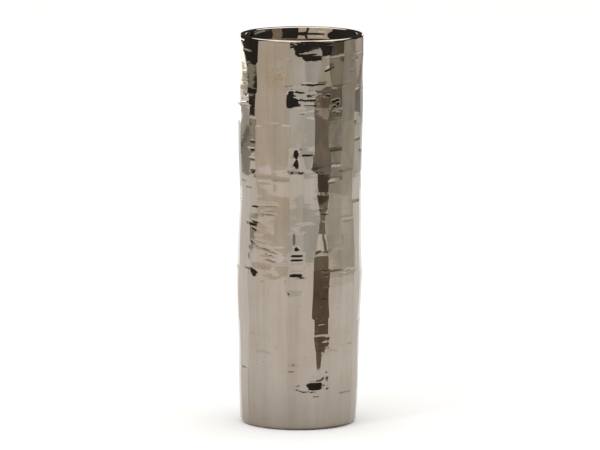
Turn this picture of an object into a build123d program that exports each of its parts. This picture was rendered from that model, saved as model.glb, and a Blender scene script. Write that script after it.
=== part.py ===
"""Tall cylindrical vase with a hand-cut, faceted wall, standing on four felt dots.

Millimetres. Z is up and z = 0 is the plane the dots stand on. The origin lies
on the axis of the straight bore. The front of the vase looks along -Y, and a
flat's azimuth is counted from the front towards +X.
"""

import os
from math import cos, radians, sin, tan

from build123d import *

# ---- overall sizes ---------------------------------------------------------
HEIGHT = 406.0  # felt underside to lip
WALL_RADIUS = 63.4  # ridge radius of the faceted wall at mid height
WALL = 9.4  # from the bore to the ridge radius

# ---- outline of the wall ---------------------------------------------------
# part of the wall's height, change in ridge radius, shift of the centre to +X
OUTLINE = (
    (0.00, -3.4, -1.8),
    (0.05, -2.1, -1.3),
    (0.12, -1.5, -1.5),
    (0.19, -1.2, -1.5),
    (0.28, 0.2, -1.2),
    (0.35, 1.1, -0.8),
    (0.39, 1.4, -0.3),
    (0.48, 0.1, -0.3),
    (0.57, -0.7, 0.3),
    (0.70, 0.5, 0.3),
    (0.83, 1.1, 0.8),
    (0.93, 1.1, 1.2),
    (1.00, 1.4, 1.5),
)
FOOT_LEAN = OUTLINE[0][2]
LIP_LEAN = OUTLINE[-1][2]

# ---- foot ------------------------------------------------------------------
FOOT_BEVEL = 1.6
FOOT_RADIUS = WALL_RADIUS + OUTLINE[0][1]
FOOT_EDGE_RADIUS = FOOT_RADIUS - FOOT_BEVEL
FOOT_RECESS_DEPTH = 1.5
FLOOR_THICKNESS = 11.0

# ---- felt dots -------------------------------------------------------------
PAD_COUNT = 4
PAD_DIAMETER = 14.0
PAD_THICKNESS = 1.2
PAD_CHAMFER = 0.3
PAD_EDGE_MARGIN = 3.6  # from the dot to the near edge of the foot
PAD_RECESS_MARGIN = 2.5  # from the dot to the recess under the foot
PAD_CIRCLE_RADIUS = FOOT_EDGE_RADIUS - abs(FOOT_LEAN) - PAD_EDGE_MARGIN - PAD_DIAMETER / 2.0
PAD_FIRST_ANGLE = 45.0
FOOT_RECESS_RADIUS = PAD_CIRCLE_RADIUS - PAD_DIAMETER / 2.0 - PAD_RECESS_MARGIN

# ---- lip and bore ----------------------------------------------------------
LIP_OUTER_ROUND_WIDTH = 3.4
LIP_OUTER_ROUND_HEIGHT = 7.0
LIP_LAND = 3.0  # level ring on top of the lip
LIP_INNER_ROUND = 1.2
LIP_FLARE_HEIGHT = 13.0
LIP_RADIUS = WALL_RADIUS + OUTLINE[-1][1]
LIP_EDGE_RADIUS = LIP_RADIUS - LIP_OUTER_ROUND_WIDTH
MOUTH_RADIUS = LIP_EDGE_RADIUS - LIP_LAND
BORE_RADIUS = WALL_RADIUS - WALL
BORE_FLOOR_FILLET = 6.0

# ---- flats -----------------------------------------------------------------
# The first flat starts at this azimuth, and the widths follow it in degrees.
FIRST_RIDGE = -75.4
FLATS = (
    # width, then the levels of its ledges in per cent of the wall's height
    (20.0, (15.0, 41.0, 62.0, 82.5)),
    (10.2, (24.0, 39.5, 52.5, 57.5, 66.0, 70.5, 79.5, 86.5, 94.0)),
    (18.4, (19.5, 42.0, 50.0, 54.5, 58.0, 65.0, 78.0)),
    (16.1, (12.0, 37.5, 42.5, 64.5, 78.0, 88.5, 95.0)),
    (14.4, (11.0, 16.5, 35.5, 39.5, 45.5, 50.5, 66.5, 72.5, 82.5, 88.0)),
    (11.3, (10.0, 24.0, 53.0, 66.5, 71.0, 80.0, 84.0, 86.5, 95.5)),
    (12.9, (13.5, 19.5, 24.0, 29.0, 46.0, 53.5, 60.5, 66.5, 86.0, 95.5)),
    (14.7, (20.0, 41.0, 46.0, 64.0, 67.5, 72.0, 82.0, 87.5, 95.5)),
    (18.0, (9.0, 21.5, 40.5, 53.5, 66.5, 88.0, 96.0)),
    (14.4, (13.0, 39.5, 58.0, 78.0, 86.5, 95.5)),
    (13.0, (8.5, 26.5, 39.5, 51.5, 64.5, 70.5, 86.5)),
    (16.0, (17.0, 38.0, 44.0, 63.5, 77.0, 93.5)),
    (15.0, (13.0, 22.0, 39.5, 57.0, 69.5, 82.0, 86.5)),
    (12.0, (7.5, 38.5, 51.5, 64.5, 77.5, 94.0)),
    (17.0, (21.5, 43.5, 64.0, 69.0, 85.5)),
    (14.6, (12.5, 26.5, 39.0, 56.5, 65.0, 82.5, 94.5)),
    (18.0, (17.5, 38.0, 51.0, 63.5, 77.0, 86.0)),
    (13.0, (8.5, 22.5, 39.5, 44.5, 64.0, 70.0, 93.0)),
    (11.0, (13.5, 38.5, 57.5, 65.5, 81.5, 85.5)),
    (16.0, (7.0, 26.0, 40.0, 50.5, 64.5, 77.5, 94.0)),
    (19.0, (17.0, 43.0, 63.0, 69.5, 86.5)),
    (14.0, (12.0, 21.0, 38.5, 56.5, 65.0, 78.0, 93.5)),
    (17.0, (8.0, 39.0, 51.5, 64.0, 85.0)),
    (14.0, (26.5, 40.5, 58.0, 69.0, 82.0, 94.0)),
)

# ---- strokes: one cut of the tool, from one ledge of a flat to the next ------
STROKE_DEPTH = 0.34  # in and out about the outline
STROKE_LEAN = 0.22  # one end of the stroke further in than the other
STROKE_YAW = 1.9  # degrees about the upright
STROKE_ROLL = 3.0  # degrees of slant of a ledge
STROKE_OVERLAP = 1.0  # each stroke runs this far past its ledges
PAST_END = 0.01  # the end strokes run past the wall by this part of its height
CUT_REACH = 16.0
CUT_MARGIN = 7.0
BLANK_MARGIN = 5.0
WIDEST_FLAT = max(width for width, _ in FLATS)
CUT_HALF_WIDTH = (WALL_RADIUS + CUT_REACH) * tan(radians(WIDEST_FLAT / 2.0)) + CUT_MARGIN

# ---- the hand's variation: an even spread over flats and strokes -------------
FLAT_STEP = 0.618034
STROKE_STEP = 0.754878
DEPTH_START = 0.10
LEAN_START = 0.62
YAW_START = 0.43
ROLL_START = 0.77

ARC_MIDDLE = 1.0 - cos(radians(45.0))
QUARTER_TURN = 90.0


def spread(flat, stroke, start):
    """An even spread from -1 to 1 over the strokes, the same every time."""
    value = flat * FLAT_STEP + stroke * STROKE_STEP + start
    return 2.0 * (value % 1.0) - 1.0


def outline(level):
    """Ridge radius and sideways shift at a part of the wall's height."""
    level = min(max(level, OUTLINE[0][0]), OUTLINE[-1][0])
    for (low, swell0, lean0), (high, swell1, lean1) in zip(OUTLINE, OUTLINE[1:]):
        if level <= high:
            along = (level - low) / (high - low)
            radius = WALL_RADIUS + swell0 + (swell1 - swell0) * along
            return radius, lean0 + (lean1 - lean0) * along


def flat_distance(level, azimuth, width):
    """Distance of a flat's plane from the bore axis."""
    radius, lean = outline(level)
    return radius * cos(radians(width / 2.0)) + lean * sin(radians(azimuth))


def height_at(level):
    """Height above the table at a part of the wall's height."""
    return PAD_THICKNESS + level * (HEIGHT - PAD_THICKNESS)


def stroke_line(flat, stroke, low, high, azimuth, width):
    """Points of the cut face as distance and height, from low to high."""
    depth = STROKE_DEPTH * spread(flat, stroke, DEPTH_START)
    lean = STROKE_LEAN * spread(flat, stroke, LEAN_START)
    levels = [low, *(station[0] for station in OUTLINE if low < station[0] < high), high]
    line = []
    for level in levels:
        along = 2.0 * (level - low) / (high - low) - 1.0
        distance = flat_distance(level, azimuth, width) - depth - lean * along
        line.append((distance, height_at(level)))
    return line


def stroke_cutter(flat, stroke, low, high, azimuth, width):
    """Solid that one stroke takes away, from level low to level high."""
    line = stroke_line(flat, stroke, low, high, azimuth, width)
    line[0] = (line[0][0], line[0][1] - STROKE_OVERLAP)
    line[-1] = (line[-1][0], line[-1][1] + STROKE_OVERLAP)
    reach = max(distance for distance, _ in line) + CUT_REACH
    outer = [(reach, line[-1][1]), (reach, line[0][1])]
    section = Plane.XZ * make_face(Polyline(*line, *outer, close=True))
    cutter = extrude(section, amount=CUT_HALF_WIDTH, both=True)

    middle = (low + high) / 2.0
    pivot = Vector(flat_distance(middle, azimuth, width), 0.0, height_at(middle))
    yaw = STROKE_YAW * spread(flat, stroke, YAW_START)
    roll = STROKE_ROLL * spread(stroke, flat, ROLL_START)
    turned = Pos(pivot) * Rot(roll, 0, yaw) * Pos(-pivot) * cutter
    return Rot(0, 0, azimuth - QUARTER_TURN) * turned


def stroke_cutters():
    """Every stroke of every flat."""
    cutters = []
    ridge = FIRST_RIDGE
    for flat, (width, ledges) in enumerate(FLATS):
        azimuth = ridge + width / 2.0
        levels = (-PAST_END, *(ledge / 100.0 for ledge in ledges), 1.0 + PAST_END)
        for stroke, (low, high) in enumerate(zip(levels, levels[1:])):
            cutters.append(stroke_cutter(flat, stroke, low, high, azimuth, width))
        ridge += width
    return cutters


def foot_half():
    """Lower half of the round blank, bevelled at the foot."""
    widest = WALL_RADIUS + BLANK_MARGIN
    bevel_top = (FOOT_RADIUS + FOOT_BEVEL, PAD_THICKNESS + 2.0 * FOOT_BEVEL)
    profile = Polyline(
        (0, PAD_THICKNESS),
        (FOOT_EDGE_RADIUS, PAD_THICKNESS),
        bevel_top,
        (widest, bevel_top[1] + BLANK_MARGIN),
        (widest, HEIGHT / 2.0),
        (0, HEIGHT / 2.0),
        close=True,
    )
    return Pos(FOOT_LEAN, 0, 0) * revolve(Plane.XZ * make_face(profile), Axis.Z)


def lip_half():
    """Upper half of the round blank, rounded at the lip."""
    widest = WALL_RADIUS + BLANK_MARGIN
    lip_edge = (LIP_EDGE_RADIUS, HEIGHT)
    round_start = (LIP_RADIUS, HEIGHT - LIP_OUTER_ROUND_HEIGHT)
    round_middle = (
        LIP_RADIUS - LIP_OUTER_ROUND_WIDTH * ARC_MIDDLE,
        HEIGHT - LIP_OUTER_ROUND_HEIGHT * ARC_MIDDLE,
    )
    lines = Polyline(
        lip_edge,
        (0, HEIGHT),
        (0, HEIGHT / 2.0),
        (widest, HEIGHT / 2.0),
        (widest, round_start[1] - BLANK_MARGIN),
        round_start,
    )
    arc = ThreePointArc(round_start, round_middle, lip_edge)
    profile = make_face([*lines.edges(), arc])
    return Pos(LIP_LEAN, 0, 0) * revolve(Plane.XZ * profile, Axis.Z)


def inside():
    """Space inside the vase: round floor, straight bore and flared mouth."""
    floor = PAD_THICKNESS + FLOOR_THICKNESS
    flare_start = HEIGHT - LIP_FLARE_HEIGHT
    bore = Cylinder(BORE_RADIUS, flare_start - floor)
    bore = Pos(0, 0, (floor + flare_start) / 2.0) * bore
    bottom_edge = bore.edges().filter_by(GeomType.CIRCLE).sort_by(Axis.Z)[0]
    bore = fillet(bottom_edge, BORE_FLOOR_FILLET)

    rings = (
        Pos(0, 0, flare_start) * Circle(BORE_RADIUS),
        Pos(LIP_LEAN, 0, HEIGHT - LIP_INNER_ROUND) * Circle(MOUTH_RADIUS - LIP_INNER_ROUND),
        Pos(LIP_LEAN, 0, HEIGHT) * Circle(MOUTH_RADIUS),
    )
    return bore + loft(rings, ruled=True)


def vase_body():
    """Glazed stoneware vessel."""
    body = (foot_half() + lip_half()) - stroke_cutters()
    body -= inside()
    recess = Cylinder(FOOT_RECESS_RADIUS, FOOT_RECESS_DEPTH)
    return body - Pos(0, 0, PAD_THICKNESS + FOOT_RECESS_DEPTH / 2.0) * recess


def foot_pad(number):
    """One felt dot under the foot, counted from 1."""
    angle = PAD_FIRST_ANGLE + (number - 1) * 360.0 / PAD_COUNT
    pad = Pos(0, 0, PAD_THICKNESS / 2.0) * Cylinder(PAD_DIAMETER / 2.0, PAD_THICKNESS)
    lower_edge = pad.edges().filter_by(GeomType.CIRCLE).sort_by(Axis.Z)[0]
    pad = chamfer(lower_edge, PAD_CHAMFER)
    return Rot(0, 0, angle) * Pos(PAD_CIRCLE_RADIUS, 0, 0) * pad


def main():
    """Write one STEP file for each piece."""
    os.makedirs("parts", exist_ok=True)
    pieces = {"vase_body": vase_body()}
    for number in range(1, PAD_COUNT + 1):
        pieces[f"foot_pad_{number}"] = foot_pad(number)
    for name, shape in pieces.items():
        export_step(shape, f"parts/{name}.step")


if __name__ == "__main__":
    main()
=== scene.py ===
"""A tall hand-cut vase in a warm silver mirror glaze, built around its CAD frame.

The vase stands on four felt dots. Its wall is 24 upright flats, each broken into
strokes of the cutting tool by low, slightly slanted ledges, under a soft lip.
Sizes are in millimetres until a mesh is written, and azimuths are in degrees
from the front, which looks along -Y, towards +X.
"""

import logging
import math
from collections.abc import Iterator
from dataclasses import dataclass, field
from enum import Enum
from typing import Any

import bpy
import numpy as np
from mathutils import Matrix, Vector


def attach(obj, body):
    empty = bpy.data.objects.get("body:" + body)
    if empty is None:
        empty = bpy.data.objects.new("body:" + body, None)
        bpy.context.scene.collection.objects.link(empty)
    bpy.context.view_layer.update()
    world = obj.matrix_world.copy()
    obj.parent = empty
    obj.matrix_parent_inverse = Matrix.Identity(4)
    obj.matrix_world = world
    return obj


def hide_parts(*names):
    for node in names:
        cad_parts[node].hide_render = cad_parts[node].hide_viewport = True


LOG = logging.getLogger("vase")
MM = 0.001
FULL_TURN = 2.0 * math.pi
Colour = tuple[float, float, float, float]
Place = tuple[float, float, float]

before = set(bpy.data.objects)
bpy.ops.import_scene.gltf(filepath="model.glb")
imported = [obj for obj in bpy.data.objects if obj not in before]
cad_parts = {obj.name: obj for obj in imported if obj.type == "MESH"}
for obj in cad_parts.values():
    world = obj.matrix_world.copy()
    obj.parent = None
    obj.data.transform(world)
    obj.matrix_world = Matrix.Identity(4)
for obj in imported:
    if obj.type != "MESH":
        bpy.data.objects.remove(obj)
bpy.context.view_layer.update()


# ------------------------------------------------------------------ node helpers
class Num:
    """A number that flows through a node tree, with Python's arithmetic on it."""

    def __init__(self, tree: "Tree", socket: bpy.types.NodeSocket) -> None:
        """Wraps an output socket.

        Args:
            tree: The tree that the socket belongs to.
            socket: The socket that carries the number.
        """
        self.tree = tree
        self.socket = socket

    def __add__(self, other: Any) -> "Num":
        """Sum."""
        return self.tree.math("ADD", self, other)

    def __radd__(self, other: Any) -> "Num":
        """Sum with the number first."""
        return self.tree.math("ADD", other, self)

    def __sub__(self, other: Any) -> "Num":
        """Difference."""
        return self.tree.math("SUBTRACT", self, other)

    def __rsub__(self, other: Any) -> "Num":
        """Difference with the number first."""
        return self.tree.math("SUBTRACT", other, self)

    def __mul__(self, other: Any) -> "Num":
        """Product."""
        return self.tree.math("MULTIPLY", self, other)

    def __rmul__(self, other: Any) -> "Num":
        """Product with the number first."""
        return self.tree.math("MULTIPLY", other, self)

    def __gt__(self, other: Any) -> "Num":
        """1 where this is more."""
        return self.tree.math("GREATER_THAN", self, other)

    def ramp(self, low: float, high: float, to_low: float = 0.0, to_high: float = 1.0) -> "Num":
        """Smooth step between two values.

        Args:
            low: Where the step starts.
            high: Where it ends.
            to_low: Result at and below the start.
            to_high: Result at and above the end.

        Returns:
            The stepped number.
        """
        node = self.tree.node(
            "ShaderNodeMapRange",
            {"interpolation_type": "SMOOTHSTEP", "clamp": True},
            {"Value": self, "From Min": low, "From Max": high, "To Min": to_low, "To Max": to_high},
        )
        return Num(self.tree, node.outputs["Result"])


class Tree:
    """A shader or geometry node tree that is filled by short calls."""

    def __init__(self, nodes: bpy.types.NodeTree) -> None:
        """Empties a node tree and keeps it.

        Args:
            nodes: The tree to fill.
        """
        self.nodes = nodes
        nodes.nodes.clear()

    def node(self, kind: str, settings: dict[str, Any], values: dict[Any, Any]) -> bpy.types.Node:
        """Adds a node, sets it up, then fills its sockets.

        Args:
            kind: The node's type.
            settings: Attributes such as an operation, which are set first.
            values: Numbers, colours, data or links by socket name or number.

        Returns:
            The node.
        """
        node = self.nodes.nodes.new(kind)
        for name, setting in settings.items():
            setattr(node, name, setting)
        for key, value in values.items():
            self.fill(node.inputs[key], value)
        return node

    def fill(self, socket: bpy.types.NodeSocket, value: Any) -> None:
        """Links or sets one socket.

        Args:
            socket: The input to fill.
            value: A wrapped number, a socket or plain data.
        """
        link = value.socket if isinstance(value, Num) else value
        if isinstance(link, bpy.types.NodeSocket):
            self.nodes.links.new(link, socket)
        else:
            socket.default_value = value

    def math(self, operation: str, *values: Any) -> Num:
        """Adds a Math node.

        Args:
            operation: The node's operation.
            values: Its inputs in order.

        Returns:
            The wrapped result.
        """
        node = self.node("ShaderNodeMath", {"operation": operation}, dict(enumerate(values)))
        return Num(self, node.outputs[0])

    def number(self, node: bpy.types.Node, output: Any = 0) -> Num:
        """Wraps one output of a node as a number."""
        return Num(self, node.outputs[output])

    def tint(self, amount: Any, first: Any, second: Any) -> bpy.types.NodeSocket:
        """Mixes two colours.

        Args:
            amount: How much of the second colour.
            first: Colour or link.
            second: Colour or link.

        Returns:
            The mixed colour's socket.
        """
        node = self.node(
            "ShaderNodeMix",
            {"data_type": "RGBA", "blend_type": "MIX"},
            {"Factor": amount, 6: first, 7: second},
        )
        return node.outputs[2]

    def noise(self, place: Any, scale: Any, seed: Any, detail: float = 2.0, rough: float = 0.5) -> Num:
        """Adds soft noise from 0 to 1.

        Args:
            place: Position link.
            scale: Features for each metre, or a link.
            seed: Fourth coordinate, which picks the pattern, or a link.
            detail: Number of finer layers.
            rough: Strength of the finer layers.

        Returns:
            The noise.
        """
        node = self.node(
            "ShaderNodeTexNoise",
            {"noise_dimensions": "4D"},
            {"Vector": place, "W": seed, "Scale": scale, "Detail": detail, "Roughness": rough},
        )
        return Num(self, node.outputs[0])


@dataclass(frozen=True)
class Grain:
    """A noise pattern: features for each metre, its seed and its finer layers.

    It may be stretched along an axis, and its patches start and end at two of its values.
    """

    scale: float
    seed: float
    detail: float = 2.0
    rough: float = 0.5
    patches: tuple[float, float] = (0.0, 1.0)
    stretch: Place | None = None

    def on(self, tree: Tree, place: Any) -> Num:
        """Adds the pattern to a tree.

        Args:
            tree: The material's tree.
            place: Object coordinates.

        Returns:
            The noise, from 0 to 1.
        """
        if self.stretch is not None:
            drawn = tree.node("ShaderNodeMapping", {}, {"Vector": place, "Scale": self.stretch})
            place = drawn.outputs[0]
        return tree.noise(place, self.scale, self.seed, self.detail, self.rough)


# ------------------------------------------------------------------ the wall's rule
def soften(part: Any) -> Any:
    """Eases a part from 0 to 1, or an array of them, at both ends."""
    return part * part * (3.0 - 2.0 * part)


class Series(Enum):
    """What the hand's unevenness acts on, with the start of its series."""

    DEPTH = 0.10
    LEAN = 0.62
    YAW = 0.43
    ROLL = 0.77
    TONE = 0.31


@dataclass(frozen=True)
class Hand:
    """The maker's small unevenness, spread evenly and the same every time."""

    flat_step: float = 0.618034
    stroke_step: float = 0.754878
    depth: float = 0.34
    lean: float = 0.22
    yaw: float = 1.9
    roll: float = 3.0

    def spread(self, first: float, second: float, series: Series) -> float:
        """A value from -1 to 1 for a flat and a stroke.

        Args:
            first: Number that moves by the flat's step.
            second: Number that moves by the stroke's step.
            series: What the value is for.

        Returns:
            The value.
        """
        value = first * self.flat_step + second * self.stroke_step + series.value
        return 2.0 * (value % 1.0) - 1.0


@dataclass(frozen=True)
class Wave:
    """A wave along a surface: its strength, its rate for each millimetre, its start."""

    strength: float
    rate: float
    start: float

    def at(self, place: np.ndarray, phase: float) -> np.ndarray:
        """Height of the wave at places along the surface, for one flat's or ledge's phase."""
        return self.strength * np.sin(place * self.rate + self.start * phase)


@dataclass(frozen=True)
class Stroke:
    """One cut of the tool on one flat, between two ledges; ease softens its upper one."""

    low: float
    high: float
    depth: float
    lean: float
    yaw: float
    roll: float
    ease: float


@dataclass(frozen=True)
class Flat:
    """One upright flat of the wall: the azimuth it faces, its width in degrees, its strokes."""

    azimuth: float
    width: float
    strokes: tuple[Stroke, ...]


class Bite(Enum):
    """How deep a chisel mark bites, and how square its ends are; bare and scored marks get painted dark
    reflections.
    """

    GLAZED = ("glazed over", 2.0)
    SCORED = ("scored through", 2.0)
    BARE = ("bare", 4.0)

    @property
    def squareness(self) -> float:
        """Power of the rounded box along the mark's height."""
        return self.value[1]


@dataclass(frozen=True)
class Nick:
    """A chisel mark that leans back, or with a negative depth leans forward.

    Its outline is a rounded box, squarer for a larger corner. It tilts by its slant in
    degrees and widens towards its top by its taper.
    """

    azimuth: float
    height: float
    half_width: float
    half_height: float
    depth: float
    slant: float = 0.0
    taper: float = 0.0
    corner: float = 4.0


# Depth of a line that is scored through the glaze.
SCORE = 0.61


@dataclass(frozen=True)
class ChiselMarks:
    """The chisel marks all over the wall, by how deep they bite; bare and scored marks get painted dark
    reflections.

    Each mark gives its azimuth, height, half width, half height and depth, then, where
    they matter, its slant, taper and corner.
    """

    rim: float = 3.0
    narrowest: float = 0.3
    widest: float = 2.0
    glazed: tuple[Nick, ...] = (
        Nick(14.5, 55.5, 9.0, 4.2, -0.35, 1.0),
        Nick(16.0, 37.0, 5.5, 1.9, -0.26),
        Nick(13.0, 40.4, 3.6, 1.2, 0.3),
        Nick(-4.0, 44.0, 4.5, 1.3, 0.3, -4.0),
        Nick(-5.5, 40.5, 2.4, 1.0, 0.24),
        Nick(-12.0, 66.5, 4.2, 1.0, 0.24, 2.0),
        Nick(-13.5, 62.0, 4.0, 0.9, 0.22),
        Nick(-3.8, 186.6, 6.6, 1.3, -0.2, 1.5),
        Nick(-3.8, 176.6, 6.0, 1.3, -0.2),
        Nick(-2.8, 168.6, 6.4, 1.2, -0.2),
        Nick(-4.4, 208.5, 3.2, 1.3, 0.3, -28.0),
        Nick(0.2, 398.0, 4.8, 9.0, 0.55),
        Nick(-3.4, 349.0, 6.6, 1.5, 0.3, -34.0),
        Nick(-3.0, 356.0, 6.2, 2.6, -0.3, -22.0),
        Nick(9.5, 345.0, 6.4, 1.5, 0.3, 2.0),
        Nick(10.5, 339.5, 7.4, 1.4, 0.26, -3.0),
        Nick(12.0, 332.0, 5.0, 1.2, 0.22),
        Nick(3.0, 331.0, 4.0, 1.2, 0.22, 4.0),
        Nick(31.0, 259.0, 5.0, 1.3, -0.22, 3.0),
        Nick(52.0, 217.0, 5.2, 1.4, 0.26, -2.0),
        Nick(52.0, 360.5, 5.0, 1.4, 0.24, 5.0),
        Nick(-26.0, 319.5, 8.0, 1.3, -0.2, 4.0),
        Nick(-36.0, 258.0, 8.0, 1.3, -0.22, -2.0),
        Nick(-38.5, 233.0, 7.5, 1.5, 0.22, 2.0),
        Nick(-33.0, 228.5, 5.0, 1.2, 0.2),
        Nick(-41.5, 196.0, 6.0, 1.3, 0.28, -7.0),
        Nick(-37.0, 190.0, 8.5, 1.4, 0.3, -5.0),
        Nick(-33.0, 183.0, 8.0, 1.3, -0.25, 4.0),
        Nick(-31.0, 158.0, 9.0, 8.5, 0.34, 3.0),
        Nick(-31.5, 144.5, 4.4, 4.5, 0.26),
        Nick(-50.0, 270.0, 4.2, 1.5, 0.26, 3.0),
        Nick(-50.5, 281.0, 4.0, 1.4, 0.24, -2.0),
        Nick(-51.0, 291.0, 4.4, 1.6, 0.3, 4.0),
        Nick(-50.0, 299.5, 3.6, 1.3, 0.24),
        Nick(25.0, 150.5, 3.4, 1.2, 0.26, 6.0),
        Nick(24.0, 153.6, 2.4, 1.0, 0.24, -8.0),
        Nick(25.5, 91.5, 3.2, 1.2, 0.26),
        Nick(13.0, 104.0, 3.6, 1.4, -0.24, -20.0),
        Nick(22.0, 232.0, 5.6, 1.4, -0.26, 5.0),
        Nick(24.0, 226.5, 4.0, 1.2, 0.24, -6.0),
        Nick(19.0, 361.5, 7.0, 1.3, 0.3, 1.0),
        Nick(7.0, 361.0, 7.0, 1.3, 0.3, -1.5),
        Nick(6.0, 392.5, 8.0, 1.0, -0.22, 4.0),
        Nick(27.0, 378.0, 5.0, 2.6, -0.26, 24.0),
        Nick(60.0, 383.0, 5.0, 1.6, 0.3, -6.0),
        Nick(57.0, 372.0, 4.0, 1.3, 0.26, 4.0),
        Nick(-58.0, 392.0, 6.0, 1.3, -0.3, -3.0),
        Nick(-60.0, 346.0, 4.2, 1.6, 0.3, 6.0),
        Nick(-57.0, 252.0, 5.0, 1.3, -0.25, 4.0),
        Nick(-56.0, 214.0, 4.6, 1.4, 0.3, -5.0),
        Nick(-20.0, 190.0, 4.0, 1.3, 0.24, 6.0),
        Nick(-22.0, 176.0, 5.0, 1.2, 0.22, -4.0),
        Nick(44.0, 163.0, 5.0, 1.4, -0.24, -12.0),
        Nick(50.0, 165.5, 4.0, 1.2, 0.26, 10.0),
        Nick(70.0, 150.0, 4.0, 1.5, 0.28, 3.0),
        Nick(66.0, 300.0, 4.5, 1.6, 0.3, -4.0),
        Nick(-9.1, 69.7, 4.5, 1.0, 0.3, -4.0),
        Nick(28.5, 48.5, 2.2, 1.8, -0.32, 8.0),
        Nick(-10.0, 30.0, 10.0, 2.4, 0.2, 3.0),
        Nick(-5.0, 24.5, 12.0, 2.0, -0.18, -2.0),
        Nick(5.0, 18.0, 9.0, 2.0, 0.2, 4.0),
        Nick(101.0, 330.0, 6.0, 1.8, 0.32, 4.0),
        Nick(118.0, 232.0, 6.0, 1.8, 0.32, 3.0),
        Nick(131.0, 96.0, 7.0, 3.6, 0.58),
        Nick(155.0, 318.0, 4.0, 7.0, 0.58, 5.0),
        Nick(176.0, 176.0, 7.0, 1.8, 0.34),
        Nick(177.0, 169.0, 6.0, 1.6, -0.3, -3.0),
        Nick(-161.0, 274.0, 6.5, 1.8, 0.32, 4.0),
        Nick(-143.0, 70.0, 6.0, 2.6, 0.42, -3.0),
        Nick(-120.0, 350.0, 5.0, 4.4, 0.5),
        Nick(-104.0, 205.0, 6.0, 1.8, 0.32, 3.0),
        Nick(-88.0, 120.0, 5.0, 1.8, 0.32, -4.0),
    )
    # Scored lines whose glaze colour is painted dark: painted dark reflections.
    scored: tuple[Nick, ...] = (
        Nick(-5.4, 200.5, 0.9, 8.0, SCORE, 0.0, 0.2, 2.0),
        Nick(34.0, 331.0, 1.2, 1.1, SCORE),
        Nick(37.0, 329.8, 1.1, 0.8, SCORE),
        Nick(-47.2, 192.9, 6.6, 0.6, SCORE, -34.0),
        Nick(-31.0, 187.6, 10.0, 0.6, SCORE, -13.5),
        Nick(-30.0, 183.0, 7.0, 0.5, SCORE, -10.0),
        Nick(-28.7, 177.3, 7.6, 0.6, SCORE, -12.0),
        Nick(-53.8, 183.0, 0.8, 10.0, SCORE),
        Nick(-28.4, 233.6, 9.2, 0.5, SCORE, 1.0),
        Nick(-28.4, 229.0, 7.0, 0.4, SCORE),
        Nick(-28.4, 224.7, 9.2, 0.5, SCORE, -1.0),
        Nick(-46.3, 232.0, 6.5, 0.6, SCORE, -2.0),
        Nick(-46.0, 216.0, 6.0, 0.6, SCORE, -9.0),
        Nick(-47.5, 208.5, 5.0, 0.6, SCORE, -16.0),
        Nick(-38.8, 222.0, 0.6, 9.0, SCORE),
        Nick(-6.8, 68.8, 2.0, 0.6, SCORE, 10.0),
        Nick(-8.5, 62.3, 3.6, 0.6, SCORE),
        Nick(-2.0, 47.0, 1.6, 0.9, SCORE, 30.0),
        Nick(-2.8, 42.6, 2.2, 0.8, SCORE, -16.0),
        Nick(26.4, 60.5, 1.6, 0.8, SCORE, 12.0),
        Nick(27.2, 54.0, 0.9, 3.6, SCORE),
        Nick(27.5, 43.4, 1.9, 0.8, SCORE, -8.0),
        Nick(24.7, 167.0, 3.0, 0.7, SCORE, 3.0),
        Nick(25.2, 162.0, 2.4, 0.6, SCORE, -8.0),
        Nick(22.4, 138.0, 3.6, 0.6, SCORE, 2.0),
        Nick(21.0, 109.5, 2.8, 0.7, SCORE),
    )
    # Deep marks whose glaze colour is painted near-black: painted dark reflections.
    bare: tuple[Nick, ...] = (
        Nick(14.5, 46.0, 8.2, 4.0, 1.1, 1.0, 0.22),
        Nick(-3.2, 183.2, 6.0, 1.1, 0.65, 1.5, 0.15),
        Nick(-3.2, 178.9, 6.0, 0.9, 0.65, 1.0),
        Nick(-3.8, 162.8, 6.4, 1.7, 0.7, 1.5, -0.1),
        Nick(-3.2, 190.4, 1.9, 2.6, 0.65, 0.0, -0.5, 2.0),
        Nick(-3.7, 288.5, 2.9, 5.6, 0.9, 0.0, 0.1, 1.7),
        Nick(-3.4, 278.2, 2.6, 5.6, 0.9, 0.0, 0.1, 1.7),
        Nick(-8.6, 345.4, 3.4, 9.3, 0.85, 6.0, -0.2, 5.0),
        Nick(-4.4, 342.6, 3.0, 4.6, 0.85, -16.0, 0.0, 2.5),
        Nick(32.6, 342.5, 1.4, 1.5, 0.65),
        Nick(36.2, 343.5, 1.7, 1.1, 0.65, 8.0),
        Nick(36.8, 339.6, 1.5, 1.2, 0.65),
        Nick(33.0, 337.0, 1.3, 1.0, 0.65),
        Nick(-48.4, 163.0, 4.0, 4.0, 0.8, -24.0, 0.5),
    )

    def scoops(self, z: np.ndarray, azimuth: np.ndarray, radius: float) -> tuple[np.ndarray, ...]:
        """Depth of the marks at points of the wall, and where they get painted dark reflections.

        Args:
            z: Heights, as a column.
            azimuth: Azimuths in radians, one row for each height.
            radius: Radius of the wall, for lengths round it.

        Returns:
            How far each point lies below the wall, and from 0 to 1 how far it is inside a
            bare mark and inside a scored line.
        """
        deep = np.zeros_like(azimuth)
        inside = {bite: np.zeros_like(azimuth) for bite in Bite}
        for bite, nicks in zip(Bite, (self.glazed, self.scored, self.bare)):
            for nick in nicks:
                reach, up = self._reach(nick, bite, z, azimuth, radius)
                full = np.clip(self.rim * (1.0 - reach), 0.0, 1.0)
                slope = 0.5 + 0.5 * math.copysign(1.0, nick.depth) * up
                deep = np.maximum(deep, abs(nick.depth) * full * np.clip(slope, 0.0, 1.0))
                inside[bite] = np.maximum(inside[bite], np.clip(1.0 - reach, 0.0, 1.0))
        return deep, inside[Bite.BARE], inside[Bite.SCORED]

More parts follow.
